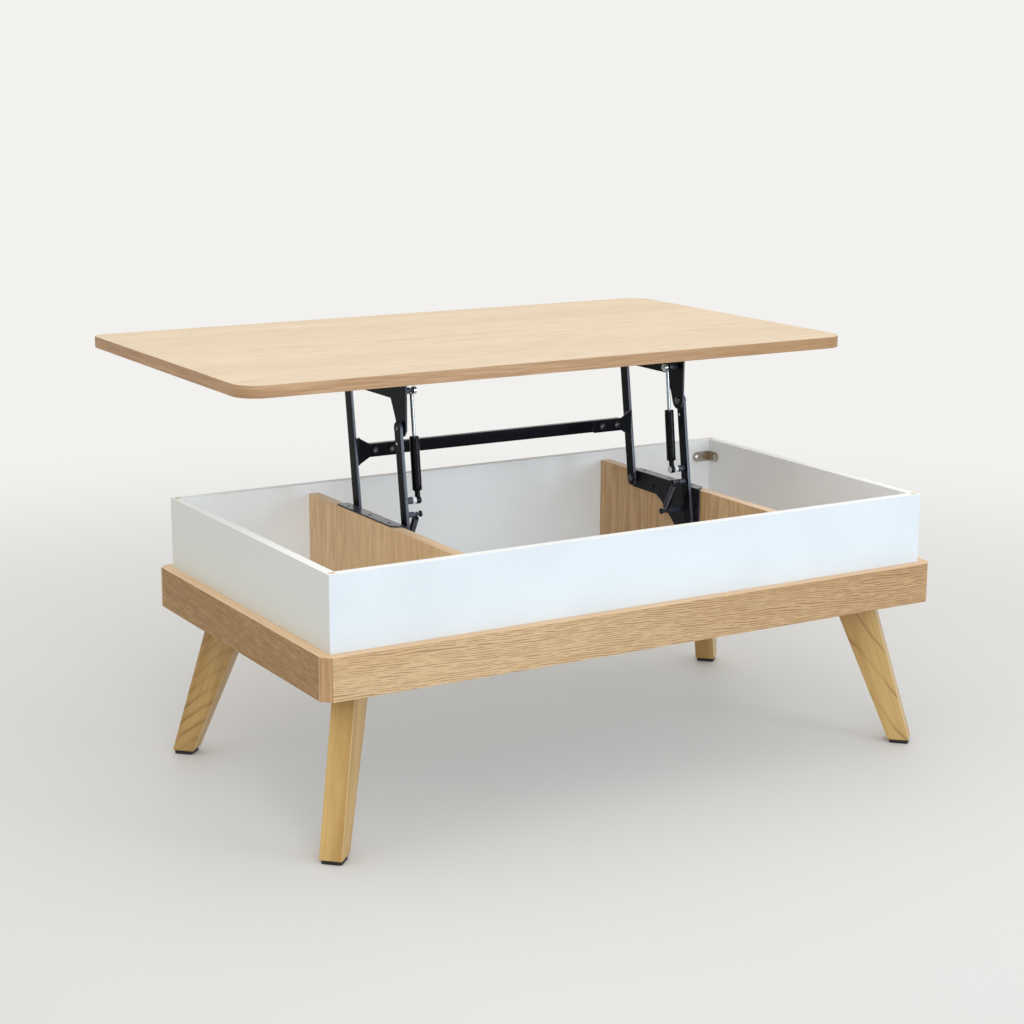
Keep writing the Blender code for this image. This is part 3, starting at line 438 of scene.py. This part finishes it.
LOOKS = {
    "top_laminate": make_top_laminate(),
    "oak_x": make_oak_laminate("oak_x", 0, (0.31, 0.12, 0.05), pitch=0.0034, sway=0.008, slope=-0.02,
                               contrast=1.1),
    # painted shade: the side rails' oak is a darker, warmer copy, standing in for the shade on the side
    # that faces away from the light
    "oak_y": make_oak_laminate("oak_y", 1, (0.43, 0.27, 0.11), (0.67, 0.57, 0.375), rgb(232, 200, 160),
                               pitch=0.0032, sway=0.012, slope=0.05, figure=0.2, contrast=1.25),
    # painted light: the left divider's oak is a lighter copy, standing in for light inside the box
    "oak_z": make_oak_laminate("oak_z", 2, (0.17, 0.05, 0.23), (1.25, 1.22, 1.18), OAK_LEDGE,
                               size=1.4, figure=0.12, contrast=0.4),
    "oak_z_dark": make_oak_laminate("oak_z_dark", 2, (0.51, 0.32, 0.23), (0.98, 0.90, 0.80),
                                    OAK_LEDGE, size=1.8, sway=0.03, figure=0.3, contrast=0.28),
    "white_melamine": make_white_melamine(),
    "black_steel": make_black_steel("black_steel"),
    # painted highlight: a lighter copy of the black powder coat for the base plates, standing in for their
    # reflections
    "plate_black": make_black_steel("plate_black", colour=(0.020, 0.020, 0.024, 1.0)),
    "bar_black": make_black_steel("bar_black", 1),
    "tube_black": make_metal("tube_black", (0.020, 0.020, 0.022, 1.0), (0.20, 0.28)),
    "black_oxide": make_metal("black_oxide", (0.095, 0.10, 0.115, 1.0), (0.12, 0.20)),
    "bolt_grey": make_metal("bolt_grey", (0.20, 0.21, 0.23, 1.0), (0.14, 0.22)),
    "spring_black": make_metal("spring_black", (0.10, 0.10, 0.12, 1.0), (0.16, 0.24)),
    "chrome": make_metal("chrome", (0.62, 0.66, 0.68, 1.0), (0.10, 0.16)),
    "zinc": make_metal("zinc", (0.74, 0.75, 0.76, 1.0), (0.18, 0.28)),
    "nickel": make_metal("nickel", (0.56, 0.52, 0.46, 1.0), (0.26, 0.38), (60, 60, 900)),
    "black_plastic": make_black_plastic(),
    "cap_plastic": make_smooth_plastic("cap_plastic", rgb(206, 170, 126), rgb(216, 182, 138)),
    "nylon": make_smooth_plastic("nylon", rgb(226, 229, 232), rgb(236, 238, 240)),
}
# shade is partly the wood's own tone and partly painted shade, most for the back right leg in the table's
# shadow
LEG_FIGURE = {                # side, end, shade, growth rings a metre, their tilt, bow and waviness
    "leg_front_left": (-1, -1, 1.0, 0.0, 0.0, 0.0, 0.0),
    "leg_front_right": (1, -1, 0.94, 12.0, 1.8, 0.0, 0.8),
    "leg_back_left": (-1, 1, 0.90, 33.0, 0.8, 14.0, 0.8),
    "leg_back_right": (1, 1, 0.84, 12.0, 0.6, 6.0, 0.8),
}
for leg, figure in LEG_FIGURE.items():
    LOOKS[leg] = make_leg_wood(leg, *figure)


# ---------------------------------------------------------------- CAD nodes
def dress(node, look, ease=0.0, segments=2, angle=35):
    """Give a CAD node its material, and eased edges through modifiers only."""
    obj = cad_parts[node]
    obj.data.materials.clear()
    obj.data.materials.append(LOOKS[look])
    for slot in obj.material_slots:
        slot.link = "OBJECT"
        slot.material = LOOKS[look]
    for polygon in obj.data.polygons:
        polygon.material_index = 0
        polygon.use_smooth = True
    if obj.data.has_custom_normals:
        obj.data.attributes.remove(obj.data.attributes["custom_normal"])
    weld = obj.modifiers.new("weld", "WELD")
    weld.merge_threshold = 0.00001
    if ease:
        bevel = obj.modifiers.new("ease", "BEVEL")
        bevel.width = ease
        bevel.segments = segments
        bevel.limit_method = "ANGLE"
        bevel.angle_limit = math.radians(angle)
        bevel.use_clamp_overlap = True
    weighted = obj.modifiers.new("flat faces stay flat", "WEIGHTED_NORMAL")
    weighted.keep_sharp = True
    weighted.weight = 80
    return obj


def dress_all():
    dress("top_panel", "top_laminate")
    for name, axis in (("front", "x"), ("back", "x"), ("left", "y"), ("right", "y")):
        dress(name + "_rail", "oak_" + axis, 0.0006)
        dress(name + "_panel", "white_melamine", 0.0006)
    dress("floor_panel", "white_melamine")
    for side_name, side in SIDES:
        dress(side_name + "_divider", "oak_z" if side < 0 else "oak_z_dark", 0.0005)
        dress("base_plate_" + side_name, "plate_black", 0.0004)
        for part in ("rear_arm_", "front_arm_", "top_bracket_"):
            dress(part + side_name, "black_steel", 0.0004)
        dress("cross_bar_bracket_" + side_name, "bar_black", 0.0004)
        for end_name, end in ENDS:
            corner = end_name + "_" + side_name
            dress("leg_" + corner, "leg_" + corner)
            dress("leg_plate_" + corner, "black_steel", 0.0003)
            dress("foot_glide_" + corner, "black_plastic", 0.0006)
            dress("corner_bracket_" + corner, "nickel", 0.0003)
    dress("cross_bar", "bar_black")


# ---------------------------------------------------------------- shape kit for the finer pieces
def add(name, mesh, look, body, smooth_angle=38):
    obj = bpy.data.objects.new(name, mesh)
    bpy.context.scene.collection.objects.link(obj)
    mesh.materials.clear()
    mesh.materials.append(LOOKS[look])
    mesh.shade_smooth()
    mesh.set_sharp_from_angle(angle=math.radians(smooth_angle))
    if body:
        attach(obj, body)
    return obj


def frame_on(start, end):
    """Matrix whose Z runs from start to end."""
    turn = (Vector(end) - Vector(start)).to_track_quat("Z", "Y").to_matrix().to_4x4()
    return Matrix.Translation(start) @ turn


def circle(bm, place, radius, distance, sides):
    """A ring of vertices about Z, at a distance along it."""
    angles = [2 * math.pi * i / sides for i in range(sides)]
    return [bm.verts.new(place @ Vector((radius * math.cos(a), radius * math.sin(a), distance)))
            for a in angles]


def bridge(bm, low, high):
    """Quads between two rings of as many vertices."""
    for i in range(len(low)):
        j = (i + 1) % len(low)
        bm.faces.new((low[i], low[j], high[j], high[i]))


def revolve(profile, place, sides=40):
    """A mesh turned about Z; the profile is (distance, radius), closed where the radius is 0."""
    bm = bmesh.new()
    rings = []
    for distance, radius in profile:
        if radius < 1e-7:
            rings.append([bm.verts.new(place @ Vector((0, 0, distance)))])
        else:
            rings.append(circle(bm, place, radius, distance, sides))
    for low, high in zip(rings, rings[1:]):
        for i in range(sides):
            j = (i + 1) % sides
            corners = [low[i % len(low)], low[j % len(low)], high[j % len(high)], high[i % len(high)]]
            unique = [v for k, v in enumerate(corners) if v not in corners[:k]]
            if len(unique) > 2:
                bm.faces.new(unique)
    return bm


def ring_band(bm, inner, outer, low, high, place, sides=40, round_edge=0.0006):
    """Adds a ring with eased outer and inner edges, such as a washer or an eye."""
    e = round_edge
    section = [(low, inner + e), (low, outer - e), (low + e, outer), (high - e, outer), (high, outer - e),
               (high, inner + e), (high - e, inner), (low + e, inner)]
    rings = [circle(bm, place, radius, distance, sides) for distance, radius in section]
    for k, ring in enumerate(rings):
        bridge(bm, ring, rings[(k + 1) % len(rings)])


def to_mesh(name, bm):
    bmesh.ops.recalc_face_normals(bm, faces=bm.faces)
    mesh = bpy.data.meshes.new(name)
    bm.to_mesh(mesh)
    bm.free()
    return mesh


HEAD_SINK = 0.55              # depth of a head's recess, as a part of its height
HEAD_UNDERCUT = 0.55          # a head's underside ring, as a part of its radius
RECESS_DRAFT = 0.86           # a recess's floor, as a part of its mouth


def recessed_head(bm, radius, height, recess, place, sides=40, rings=5):
    """Adds a domed screw head on Z = 0, its top sunk along an outline.

    recess(angle) gives the outline's radius; the head closes on itself at its underside.
    """
    angles = [2 * math.pi * i / sides for i in range(sides)]
    bottom = (1 - HEAD_SINK) * height
    levels = [(0.0, [HEAD_UNDERCUT * radius] * sides), (0.0, [radius] * sides)]
    for k in range(rings + 1):
        share = k / rings
        rise = share * math.pi / 2
        dome = radius * (1 - share) * (0.55 + 0.45 * math.cos(rise))
        levels.append((height * (0.25 + 0.75 * math.sin(rise)), [dome + share * recess(a) for a in angles]))
    levels.append((bottom, [RECESS_DRAFT * recess(a) for a in angles]))
    loops = [[bm.verts.new(place @ Vector((r * math.cos(a), r * math.sin(a), z)))
              for a, r in zip(angles, radii)] for z, radii in levels]
    for low, high in zip(loops, loops[1:]):
        bridge(bm, low, high)
    for loop, z in ((loops[0], 0.0), (loops[-1], bottom)):
        middle = bm.verts.new(place @ Vector((0, 0, z)))
        for i in range(sides):
            bm.faces.new((loop[i], loop[(i + 1) % sides], middle))


def cross_recess(size):
    """Outline of a cross-head recess: four arms."""

    def radius(angle):
        turn = abs((angle + math.pi / 4) % (math.pi / 2) - math.pi / 4)
        return size * (0.34 + 0.66 * max(0.0, 1 - turn / math.radians(24)) ** 0.6)
    return radius


def hex_recess(size):
    """Outline of a hexagon socket; the size is from its middle to a flat."""

    def radius(angle):
        turn = (angle + math.pi / 6) % (math.pi / 3) - math.pi / 6
        return size / math.cos(turn)
    return radius


# ---------------------------------------------------------------- fasteners
LIP_SCREW_X = {"base": 0.2865, "top": 0.2775}
BASE_SCREW_Y = (0.005, 0.070, 0.145)
TOP_SCREW_Y = (0.020, 0.098, 0.176)
PLATE_T = 0.0025              # of the top brackets' lips and of the leg plates
BRACKET_T = 0.002
BRACKET_SCREW_ALONG = 0.0285
BRACKET_SCREW_ACROSS = 0.0200
LEG_SCREW = (0.044, 0.020)    # from a leg plate's middle


def wood_screw(name, point, outwards, body, look="black_oxide", radius=0.0038, height=0.0019,
               spin=0.3):
    """A pan-head cross-recess screw whose head stands outwards from a face."""
    place = frame_on(point, Vector(point) + Vector(outwards)) @ Matrix.Rotation(spin, 4, "Z")
    bm = bmesh.new()
    recessed_head(bm, radius, height, cross_recess(0.52 * radius), place, 48)
    return add(name, to_mesh(name, bm), look, body)


def make_lip_screws(side_name, side):
    """Down through a base plate's lip, and up through a top bracket's lip."""
    lip_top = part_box("base_plate_" + side_name)[1].z
    lip_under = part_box("top_bracket_" + side_name)[1].z - PLATE_T
    for i, y in enumerate(BASE_SCREW_Y):
        point = at(side * LIP_SCREW_X["base"], (y, lip_top))
        wood_screw(f"screw_base_{side_name}_{i + 1}", point, (0, 0, 1), "table_base", "black_steel",
                   0.0034, 0.0007, spin=0.4 + i)
    for i, y in enumerate(TOP_SCREW_Y):
        point = at(side * LIP_SCREW_X["top"], (y, lip_under))
        wood_screw(f"screw_top_{side_name}_{i + 1}", point, (0, 0, -1), "lift_top", spin=0.9 + i)


def make_bracket_screws(corner, side, end):
    low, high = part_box("corner_bracket_" + corner)
    z = (low.z + high.z) / 2
    wall_y = high.y if end > 0 else low.y
    wall_x = high.x if side > 0 else low.x
    along = Vector((wall_x - side * BRACKET_SCREW_ALONG, wall_y - end * BRACKET_T, z))
    across = Vector((wall_x - side * BRACKET_T, wall_y - end * BRACKET_SCREW_ACROSS, z))
    for leg, point, outwards, spin in (("long", along, (0, -end, 0), 0.2),
                                       ("short", across, (-side, 0, 0), 0.8)):
        wood_screw(f"screw_bracket_{leg}_{corner}", point, outwards, "table_base", "zinc", 0.0042, 0.0022,
                   spin)


def make_leg_screws(corner, side, end):
    low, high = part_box("leg_plate_" + corner)
    middle = (low + high) / 2
    plate_under = high.z - PLATE_T
    turn = Matrix.Rotation(math.atan2(end, side), 3, "Z")
    for i, (way_x, way_y) in enumerate(((-1, -1), (-1, 1), (1, -1), (1, 1))):
        from_middle = turn @ Vector((way_x * LEG_SCREW[0], way_y * LEG_SCREW[1], 0))
        spot = from_middle + Vector((middle.x, middle.y, plate_under))
        wood_screw(f"screw_leg_{corner}_{i + 1}", spot, (0, 0, -1), "table_base", spin=0.5 * i)


def make_screws():
    for side_name, side in SIDES:
        make_lip_screws(side_name, side)
        for end_name, end in ENDS:
            corner = end_name + "_" + side_name
            make_bracket_screws(corner, side, end)
            make_leg_screws(corner, side, end)


def make_plate_screws():
    """One screw through each base plate into its divider."""
    for side_name, side in SIDES:
        point = at(side * BASE_PLATE_X[0], BASE_PLATE_HOLE)
        wood_screw("screw_plate_" + side_name, point, (-side, 0, 0), "table_base", "black_steel",
                   0.0044, 0.0018)


def make_bolts():
    """Flanged socket-head bolts through the tabs of the cross bar."""
    for side_name, side in SIDES:
        for place_name, x in zip(("inner", "outer"), BOLT_X):
            spot = place_name + "_" + side_name
            node = "cross_bar_bolt_" + spot
            face = at(side * x, (TAB_Y - TOUCH, BOLT_Z))
            place = frame_on(face, face + Vector((0, -1, 0)))
            bm = bmesh.new()
            ring_band(bm, 0.0024, 0.0066, 0.0, 0.0011, place, 40, 0.0003)
            add("bolt_washer_" + spot, to_mesh("washer", bm), "tube_black", "rear_arms")
            bm = bmesh.new()
            seat = place @ Matrix.Translation((0, 0, 0.0012))
            recessed_head(bm, 0.0043, 0.0024, hex_recess(0.0019), seat, 48)
            bolt = add("socket_bolt_" + spot, to_mesh(node, bm), "bolt_grey", "rear_arms")
            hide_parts(node)


def rivet_profile(faces):
    """Domed head with a turned ring, shoulder between the plates, flush tail."""
    inner, shoulder, far_shoulder, outer = faces
    start = inner - TOUCH - RIVET_HEAD_H
    near = shoulder + TOUCH - start
    far = far_shoulder - TOUCH - start
    end = outer - start
    head = [(0.0, 0.0), (0.0, 0.0018), (0.0003, 0.0024), (0.0003, 0.0030), (0.0, 0.0035), (0.0001, 0.0046),
            (0.0005, 0.0057), (0.0011, 0.0063), (0.0017, 0.0065), (RIVET_HEAD_H, 0.0062),
            (RIVET_HEAD_H, PIN_R)]
    spacer = [(near, PIN_R), (near, SHOULDER_R - TURNED_EDGE), (near + TURNED_EDGE, SHOULDER_R),
              (far - TURNED_EDGE, SHOULDER_R), (far, SHOULDER_R - TURNED_EDGE), (far, PIN_R)]
    tail = [(end - TURNED_EDGE, PIN_R), (end, PIN_R - TURNED_EDGE), (end, 0.0)]
    return head + spacer + tail


def make_pins():
    jobs = (("base_pin_front", FRONT_BASE, (*ARM_X, *BASE_PLATE_X), "table_base"),
            ("base_pin_rear", REAR_BASE, (*ARM_X, *BASE_PLATE_X), "table_base"),
            ("top_pin_front", FRONT_TOP, (*TOP_BRACKET_X, *ARM_X), "lift_top"),
            ("top_pin_rear", REAR_TOP, (*TOP_BRACKET_X, *ARM_X), "lift_top"))
    for base, pivot, faces, body in jobs:
        for side_name, side in SIDES:
            node = base + "_" + side_name
            start = at(side * (faces[0] - TOUCH - RIVET_HEAD_H), pivot)
            place = frame_on(start, start + Vector((side, 0, 0)))
            bm = revolve(rivet_profile(faces), place, 44)
            piece = add("rivet_" + node, to_mesh(node, bm), "black_oxide", body, 50)
            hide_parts(node)


def make_arm_rivets():
    """The small rivet below the front arm's top pivot, headed on both faces."""
    dome = [(0.0, 0.0), (0.0, 0.0024), (0.0003, 0.0024), (0.0008, 0.0019), (0.0010, 0.0010), (0.0011, 0.0)]
    for side_name, side in SIDES:
        for face_name, x, way in (("inner", ARM_X[0], -1), ("outer", ARM_X[1], 1)):
            start = at(side * x, FRONT_ARM_RIVET)
            place = frame_on(start, start + Vector((side * way, 0, 0)))
            bm = revolve(dome, place, 32)
            name = f"arm_rivet_{face_name}_{side_name}"
            add(name, to_mesh("arm_rivet", bm), "zinc", "front_arms")


def make_caps():
    """Thin plastic caps over the joint fittings."""
    right = at(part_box("right_divider")[0].x, (0.231, 0.367))
    left = at(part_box("left_divider")[0].x, (-0.231, 0.367))
    back = Vector((0.013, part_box("back_panel")[0].y, 0.323))
    spots = (("right_divider", right, (-1, 0, 0), "cap_plastic", "oak_laminate"),
             ("left_divider", left, (-1, 0, 0), "cap_plastic", "oak_laminate"),
             ("back_panel", back, (0, -1, 0), "white_melamine", "white_melamine"))
    profile = [(0.0, 0.0), (0.0, 0.0085), (0.0003, 0.0085), (0.0006, 0.0081), (0.0007, 0.0076),
               (0.00055, 0.0070), (0.00055, 0.0)]
    for name, point, out, look, slot in spots:
        bm = revolve(profile, frame_on(point, point + Vector(out)), 48)
        add("joint_cap_" + name, to_mesh(name, bm), look, "table_base", 50)


# ---------------------------------------------------------------- gas springs
GROOVE = 0.0004               # depth of a rolled groove
ROD_BOTTOM = 0.068            # where the rod starts inside the tube, from the lower eye
CLIP_GAP = 0.0043             # from the lower eye's middle to its clip and its bush


def groove(start, radius):
    """A shallow rolled groove in a turned surface, 1.8 mm long."""
    return [(start, radius), (start + 0.0005, radius - GROOVE), (start + 0.0013, radius - GROOVE),
            (start + 0.0018, radius)]


def gas_tube_profile():
    """Neck above the lower eye, rounded and grooved tube, and the bore that the rod runs in."""
    start, end = GAS_TUBE
    r = GAS_TUBE_R
    neck = [(0.0045, 0.0), (0.0045, 0.0042), (start - 0.002, 0.0042), (start - 0.0014, 0.0050),
            (start, 0.0052)]
    low_end = [(start, r - 0.0010), (start + 0.0003, r - 0.0003), (start + 0.0010, r)]
    high_end = [(end - 0.0012, r), (end - 0.0004, r - 0.0004), (end, r - 0.0014), (end, 0.0046),
                (end - 0.0006, 0.0042)]
    bore = [(end - 0.0006, GAS_ROD_R + TOUCH), (GAS_BORE_START, GAS_ROD_R + TOUCH), (GAS_BORE_START, 0.0)]
    return neck + low_end + groove(start + 0.0085, r) + groove(end - 0.0060, r) + high_end + bore


def gas_rod_profile(length):
    """The rod, with a groove and a collar below its upper eye."""
    r = GAS_ROD_R
    return [(ROD_BOTTOM, 0.0), (ROD_BOTTOM, r), (length - 0.0085, r), (length - 0.0080, r - GROOVE),
            (length - 0.0072, r - GROOVE), (length - 0.0068, r + 0.0006), (length - 0.0045, 0.0040),
            (length - 0.0040, 0.0)]


def make_gas_springs():
    length = math.dist(GAS_LOWER, GAS_UPPER)
    clip = [(0.0, 0.0), (0.0, 0.0040), (0.0006, 0.0045), (0.0012, 0.0040), (0.0016, 0.0026), (0.0017, 0.0)]
    pin_r = GAS_JOURNAL_R - 0.0002
    pin = [(0.0, 0.0), (0.0, pin_r), (0.0076, pin_r), (0.0076, 0.0)]
    for side_name, side in SIDES:
        out = Vector((side, 0, 0))
        low = at(side * GAS_X, GAS_LOWER)
        high = at(side * GAS_X, GAS_UPPER)
        eye = frame_on(low, low + out)
        bm = revolve(gas_tube_profile(), frame_on(low, high), 48)
        ring_band(bm, GAS_JOURNAL_R + TOUCH, GAS_EYE_R, -0.004, 0.004, eye, 48, 0.0009)
        body = add("gas_spring_body_" + side_name, to_mesh("gas_body", bm), "tube_black", "gas_tubes")
        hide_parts("gas_tube_" + side_name)

        bm = bmesh.new()
        ring_band(bm, GAS_JOURNAL_R + 0.0002, 0.0053, -0.0045, -0.0039, eye, 40, 0.00015)
        ring_band(bm, 0.0042, 0.0058, CLIP_GAP, 0.0104, eye, 40, 0.0005)
        add("gas_spring_bush_" + side_name, to_mesh("gas_bush", bm), "nylon", "gas_tubes")

        start = low - CLIP_GAP * out
        bm = revolve(clip, frame_on(start, start - out), 36)
        add("gas_spring_clip_" + side_name, to_mesh("gas_clip", bm), "chrome", "front_arms", 50)

        top = at(side * GAS_UPPER_X, GAS_UPPER)
        upper_eye = frame_on(top, top + out)
        bm = revolve(gas_rod_profile(length), frame_on(low, high), 36)
        ring_band(bm, GAS_JOURNAL_R + TOUCH, GAS_EYE_R, -0.0032, 0.0032, upper_eye, 48, 0.0009)
        rod = add("gas_spring_rod_" + side_name, to_mesh("gas_rod", bm), "chrome", "gas_rods")
        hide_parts("gas_rod_" + side_name)

        seat = top - 0.0033 * out
        bm = bmesh.new()
        recessed_head(bm, 0.0044, 0.0020, cross_recess(0.0022), frame_on(seat, seat - out), 48)
        add("gas_spring_screw_" + side_name, to_mesh("gas_screw", bm), "zinc", "lift_top")
        bm = revolve(pin, frame_on(seat, seat + out), 24)
        add("gas_spring_pin_" + side_name, to_mesh("gas_pin", bm), "zinc", "lift_top")


# ---------------------------------------------------------------- assist springs
def sweep(points, radius, sides=8):
    """A round wire along a list of points."""
    bm = bmesh.new()
    rings = []
    reference = Vector((0.0, 0.0, 1.0))
    for i, point in enumerate(points):
        ahead = points[min(i + 1, len(points) - 1)] - points[max(i - 1, 0)]
        ahead.normalize()
        across = (reference - ahead * reference.dot(ahead)).normalized()
        reference = across
        up = ahead.cross(across)
        rings.append([bm.verts.new(point + radius * (math.cos(a) * across + math.sin(a) * up))
                      for a in (2 * math.pi * k / sides for k in range(sides))])
    for low, high in zip(rings, rings[1:]):
        bridge(bm, low, high)
    bm.faces.new(rings[0])
    bm.faces.new(rings[-1])
    return bm


STEPS_PER_TURN = 14
HOOK_NECK = [(0.0050, 0.0046, 0.0), (0.0036, 0.0041, 0.0), (0.0018, 0.0037, 0.0)]    # from coil to loop
HOOK_SWEEP = math.radians(240)


def make_assist_springs():
    """Close-wound coils with a hook round each stud.  The real ones stretch as the top goes down; these are
    made at one length and ride on no body.

    A path point is (along, across, out): distance from the lower stud, then off the spring's axis.
    """
    length = math.dist(SPRING_LOWER, SPRING_UPPER)
    mean_r = SPRING_R - SPRING_WIRE_R
    pitch = 2 * SPRING_WIRE_R
    turns = int((length - 2 * SPRING_END) / pitch)
    coil_start = (length - turns * pitch) / 2
    coil = []
    for i in range(turns * STEPS_PER_TURN + 1):
        angle = 2 * math.pi * i / STEPS_PER_TURN
        along = coil_start + i / STEPS_PER_TURN * pitch
        coil.append((along, mean_r * math.cos(angle), mean_r * math.sin(angle)))
    hook = list(HOOK_NECK)
    for i in range(STEPS_PER_TURN + 1):
        angle = HOOK_SWEEP * i / STEPS_PER_TURN
        hook.append((-SPRING_LOOP_R * math.sin(angle), SPRING_LOOP_R * math.cos(angle), 0.0))
    lower = list(reversed(hook))
    upper = [(length - u, v, w) for u, v, w in hook]
    for side_name, side in SIDES:
        origin = at(side * SPRING_X, SPRING_LOWER)
        ahead = (at(side * SPRING_X, SPRING_UPPER) - origin).normalized()
        out = Vector((side, 0.0, 0.0))
        across = out.cross(ahead)
        path = [origin + u * ahead + v * across + w * out for u, v, w in (*lower, *coil, *upper)]
        name = "coil_spring_" + side_name
        spring = add(name, to_mesh(name, sweep(path, SPRING_WIRE_R)), "spring_black", None, 60)
        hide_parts("assist_spring_lower_" + side_name, "assist_spring_upper_" + side_name)
        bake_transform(spring)


# ---------------------------------------------------------------- stage
STUDIO = (1.0, 0.990, 0.968, 1.0)
BACKDROP_WAY = (0.515, 0.857, 0.0)    # level direction of the brightest part of the backdrop
BACKDROP_SPREAD = (0.1, 0.75)         # cosines off that way between which it dims to the horizon's level
BACKDROP_LEVEL = 0.89
HORIZON_LEVEL = 0.43
ZENITH_LEVEL = 1.12
FLOOR_R = 60.0
FLOOR_FADE = (1.0, 2.7)       # radius where the floor starts and ends fading into the backdrop


def make_stage():
    """A pale floor that fades into the backdrop, so that no horizon line shows."""
    bm = bmesh.new()
    bmesh.ops.create_circle(bm, cap_ends=True, radius=FLOOR_R, segments=96)
    mesh = bpy.data.meshes.new("floor")
    bm.to_mesh(mesh)
    bm.free()
    floor = bpy.data.objects.new("floor", mesh)
    bpy.context.scene.collection.objects.link(floor)
    look = Look("pale_floor", specular_ior_level=0.25)
    cloud = look.noise(look.place((0.6, 0.6, 0.6)), 2)
    colour = look.mix(cloud, rgb(214, 213, 211), rgb(218, 217, 215))
    look.finish(colour, look.band(cloud, 0.3, 0.7, 0.55, 0.62))
    place = look.place()
    reach = look.node("VectorMath", {0: place}, output="Value", operation="LENGTH")
    behind = look.node("VectorMath", {0: place, 1: BACKDROP_WAY}, output="Value", operation="DOT_PRODUCT")
    toward = look.math("DIVIDE", behind, reach)
    bright = look.band(toward, *BACKDROP_SPREAD, HORIZON_LEVEL, BACKDROP_LEVEL)
    glow = look.node("Emission", {"Color": STUDIO, "Strength": bright})
    blend = look.node("MixShader", {0: look.band(reach, *FLOOR_FADE), 1: look.shader.outputs[0], 2: glow})
    look.plug(look.tree.nodes["Material Output"].inputs["Surface"], blend)
    mesh.materials.append(look.material)


def make_world():
    """White backdrop behind the table, grey round the rest of the horizon, brightest overhead."""
    world = bpy.data.worlds.new("studio")
    bpy.context.scene.world = world
    world.use_nodes = True
    look = Look.__new__(Look)
    look.tree = world.node_tree
    way = look.node("TexCoord", output="Generated")
    behind = look.node("VectorMath", {0: way, 1: BACKDROP_WAY}, output="Value", operation="DOT_PRODUCT")
    round_level = look.band(behind, *BACKDROP_SPREAD, HORIZON_LEVEL, BACKDROP_LEVEL)
    above = look.band(look.part(way, 2), 0.12, 0.75)
    level = look.node("Mix", {0: above, 2: round_level, 3: ZENITH_LEVEL})
    background = world.node_tree.nodes["Background"]
    look.plug(background.inputs["Strength"], level)
    background.inputs["Color"].default_value = STUDIO


def softbox(name, place, target, size, power, colour):
    """An area light that the camera doesn't see, aimed at a point."""
    light = bpy.data.lights.new(name, "AREA")
    light.shape = "RECTANGLE"
    light.size, light.size_y = size
    light.energy = power
    light.color = colour
    obj = bpy.data.objects.new(name, light)
    obj.location = place
    obj.rotation_euler = (Vector(target) - Vector(place)).to_track_quat("-Z", "Y").to_euler()
    obj.visible_camera = False
    bpy.context.scene.collection.objects.link(obj)


def make_lights():
    """Two cool soft boxes in front of the table, one high on the left and one low on the right."""
    softbox("key", (-1.5, -3.9, 2.1), (0, 0, 0.45), (2.2, 1.8), 50, (0.84, 0.93, 1.0))
    softbox("window", (2.05, -3.5, 0.8), (0, 0, 0.5), (1.0, 1.5), 36, (0.74, 0.86, 1.0))


# ---------------------------------------------------------------- camera
CAMERA_PLACE = (-1.7415, -2.9124, 1.1334)
CAMERA_YAW = math.radians(30.997)
CAMERA_PITCH = math.radians(12.676)
CAMERA_ROLL = math.radians(0.292)
CAMERA_LENS = 73.52           # millimetres, on a sensor 36 mm wide


def make_camera():
    camera = bpy.data.cameras.new("camera")
    camera.sensor_width = 36.0
    camera.lens = CAMERA_LENS
    camera.clip_start = 0.05
    camera.clip_end = 200.0
    obj = bpy.data.objects.new("camera", camera)
    level_ahead = Vector((math.sin(CAMERA_YAW), math.cos(CAMERA_YAW), 0.0))
    ahead = math.cos(CAMERA_PITCH) * level_ahead - Vector((0.0, 0.0, math.sin(CAMERA_PITCH)))
    level = Vector((math.cos(CAMERA_YAW), -math.sin(CAMERA_YAW), 0.0))
    up = level.cross(ahead)
    right = level * math.cos(CAMERA_ROLL) + up * math.sin(CAMERA_ROLL)
    above = up * math.cos(CAMERA_ROLL) - level * math.sin(CAMERA_ROLL)
    axes = Matrix((right, above, -ahead)).transposed()
    obj.matrix_world = Matrix.Translation(CAMERA_PLACE) @ axes.to_4x4()
    bpy.context.scene.collection.objects.link(obj)
    bpy.context.scene.camera = obj


make_camera()
dress_all()
make_screws()
make_plate_screws()
make_bolts()
make_pins()
make_arm_rivets()
make_caps()
make_gas_springs()
make_assist_springs()
make_stage()
make_world()
make_lights()
bpy.context.scene.view_settings.view_transform = "Standard"
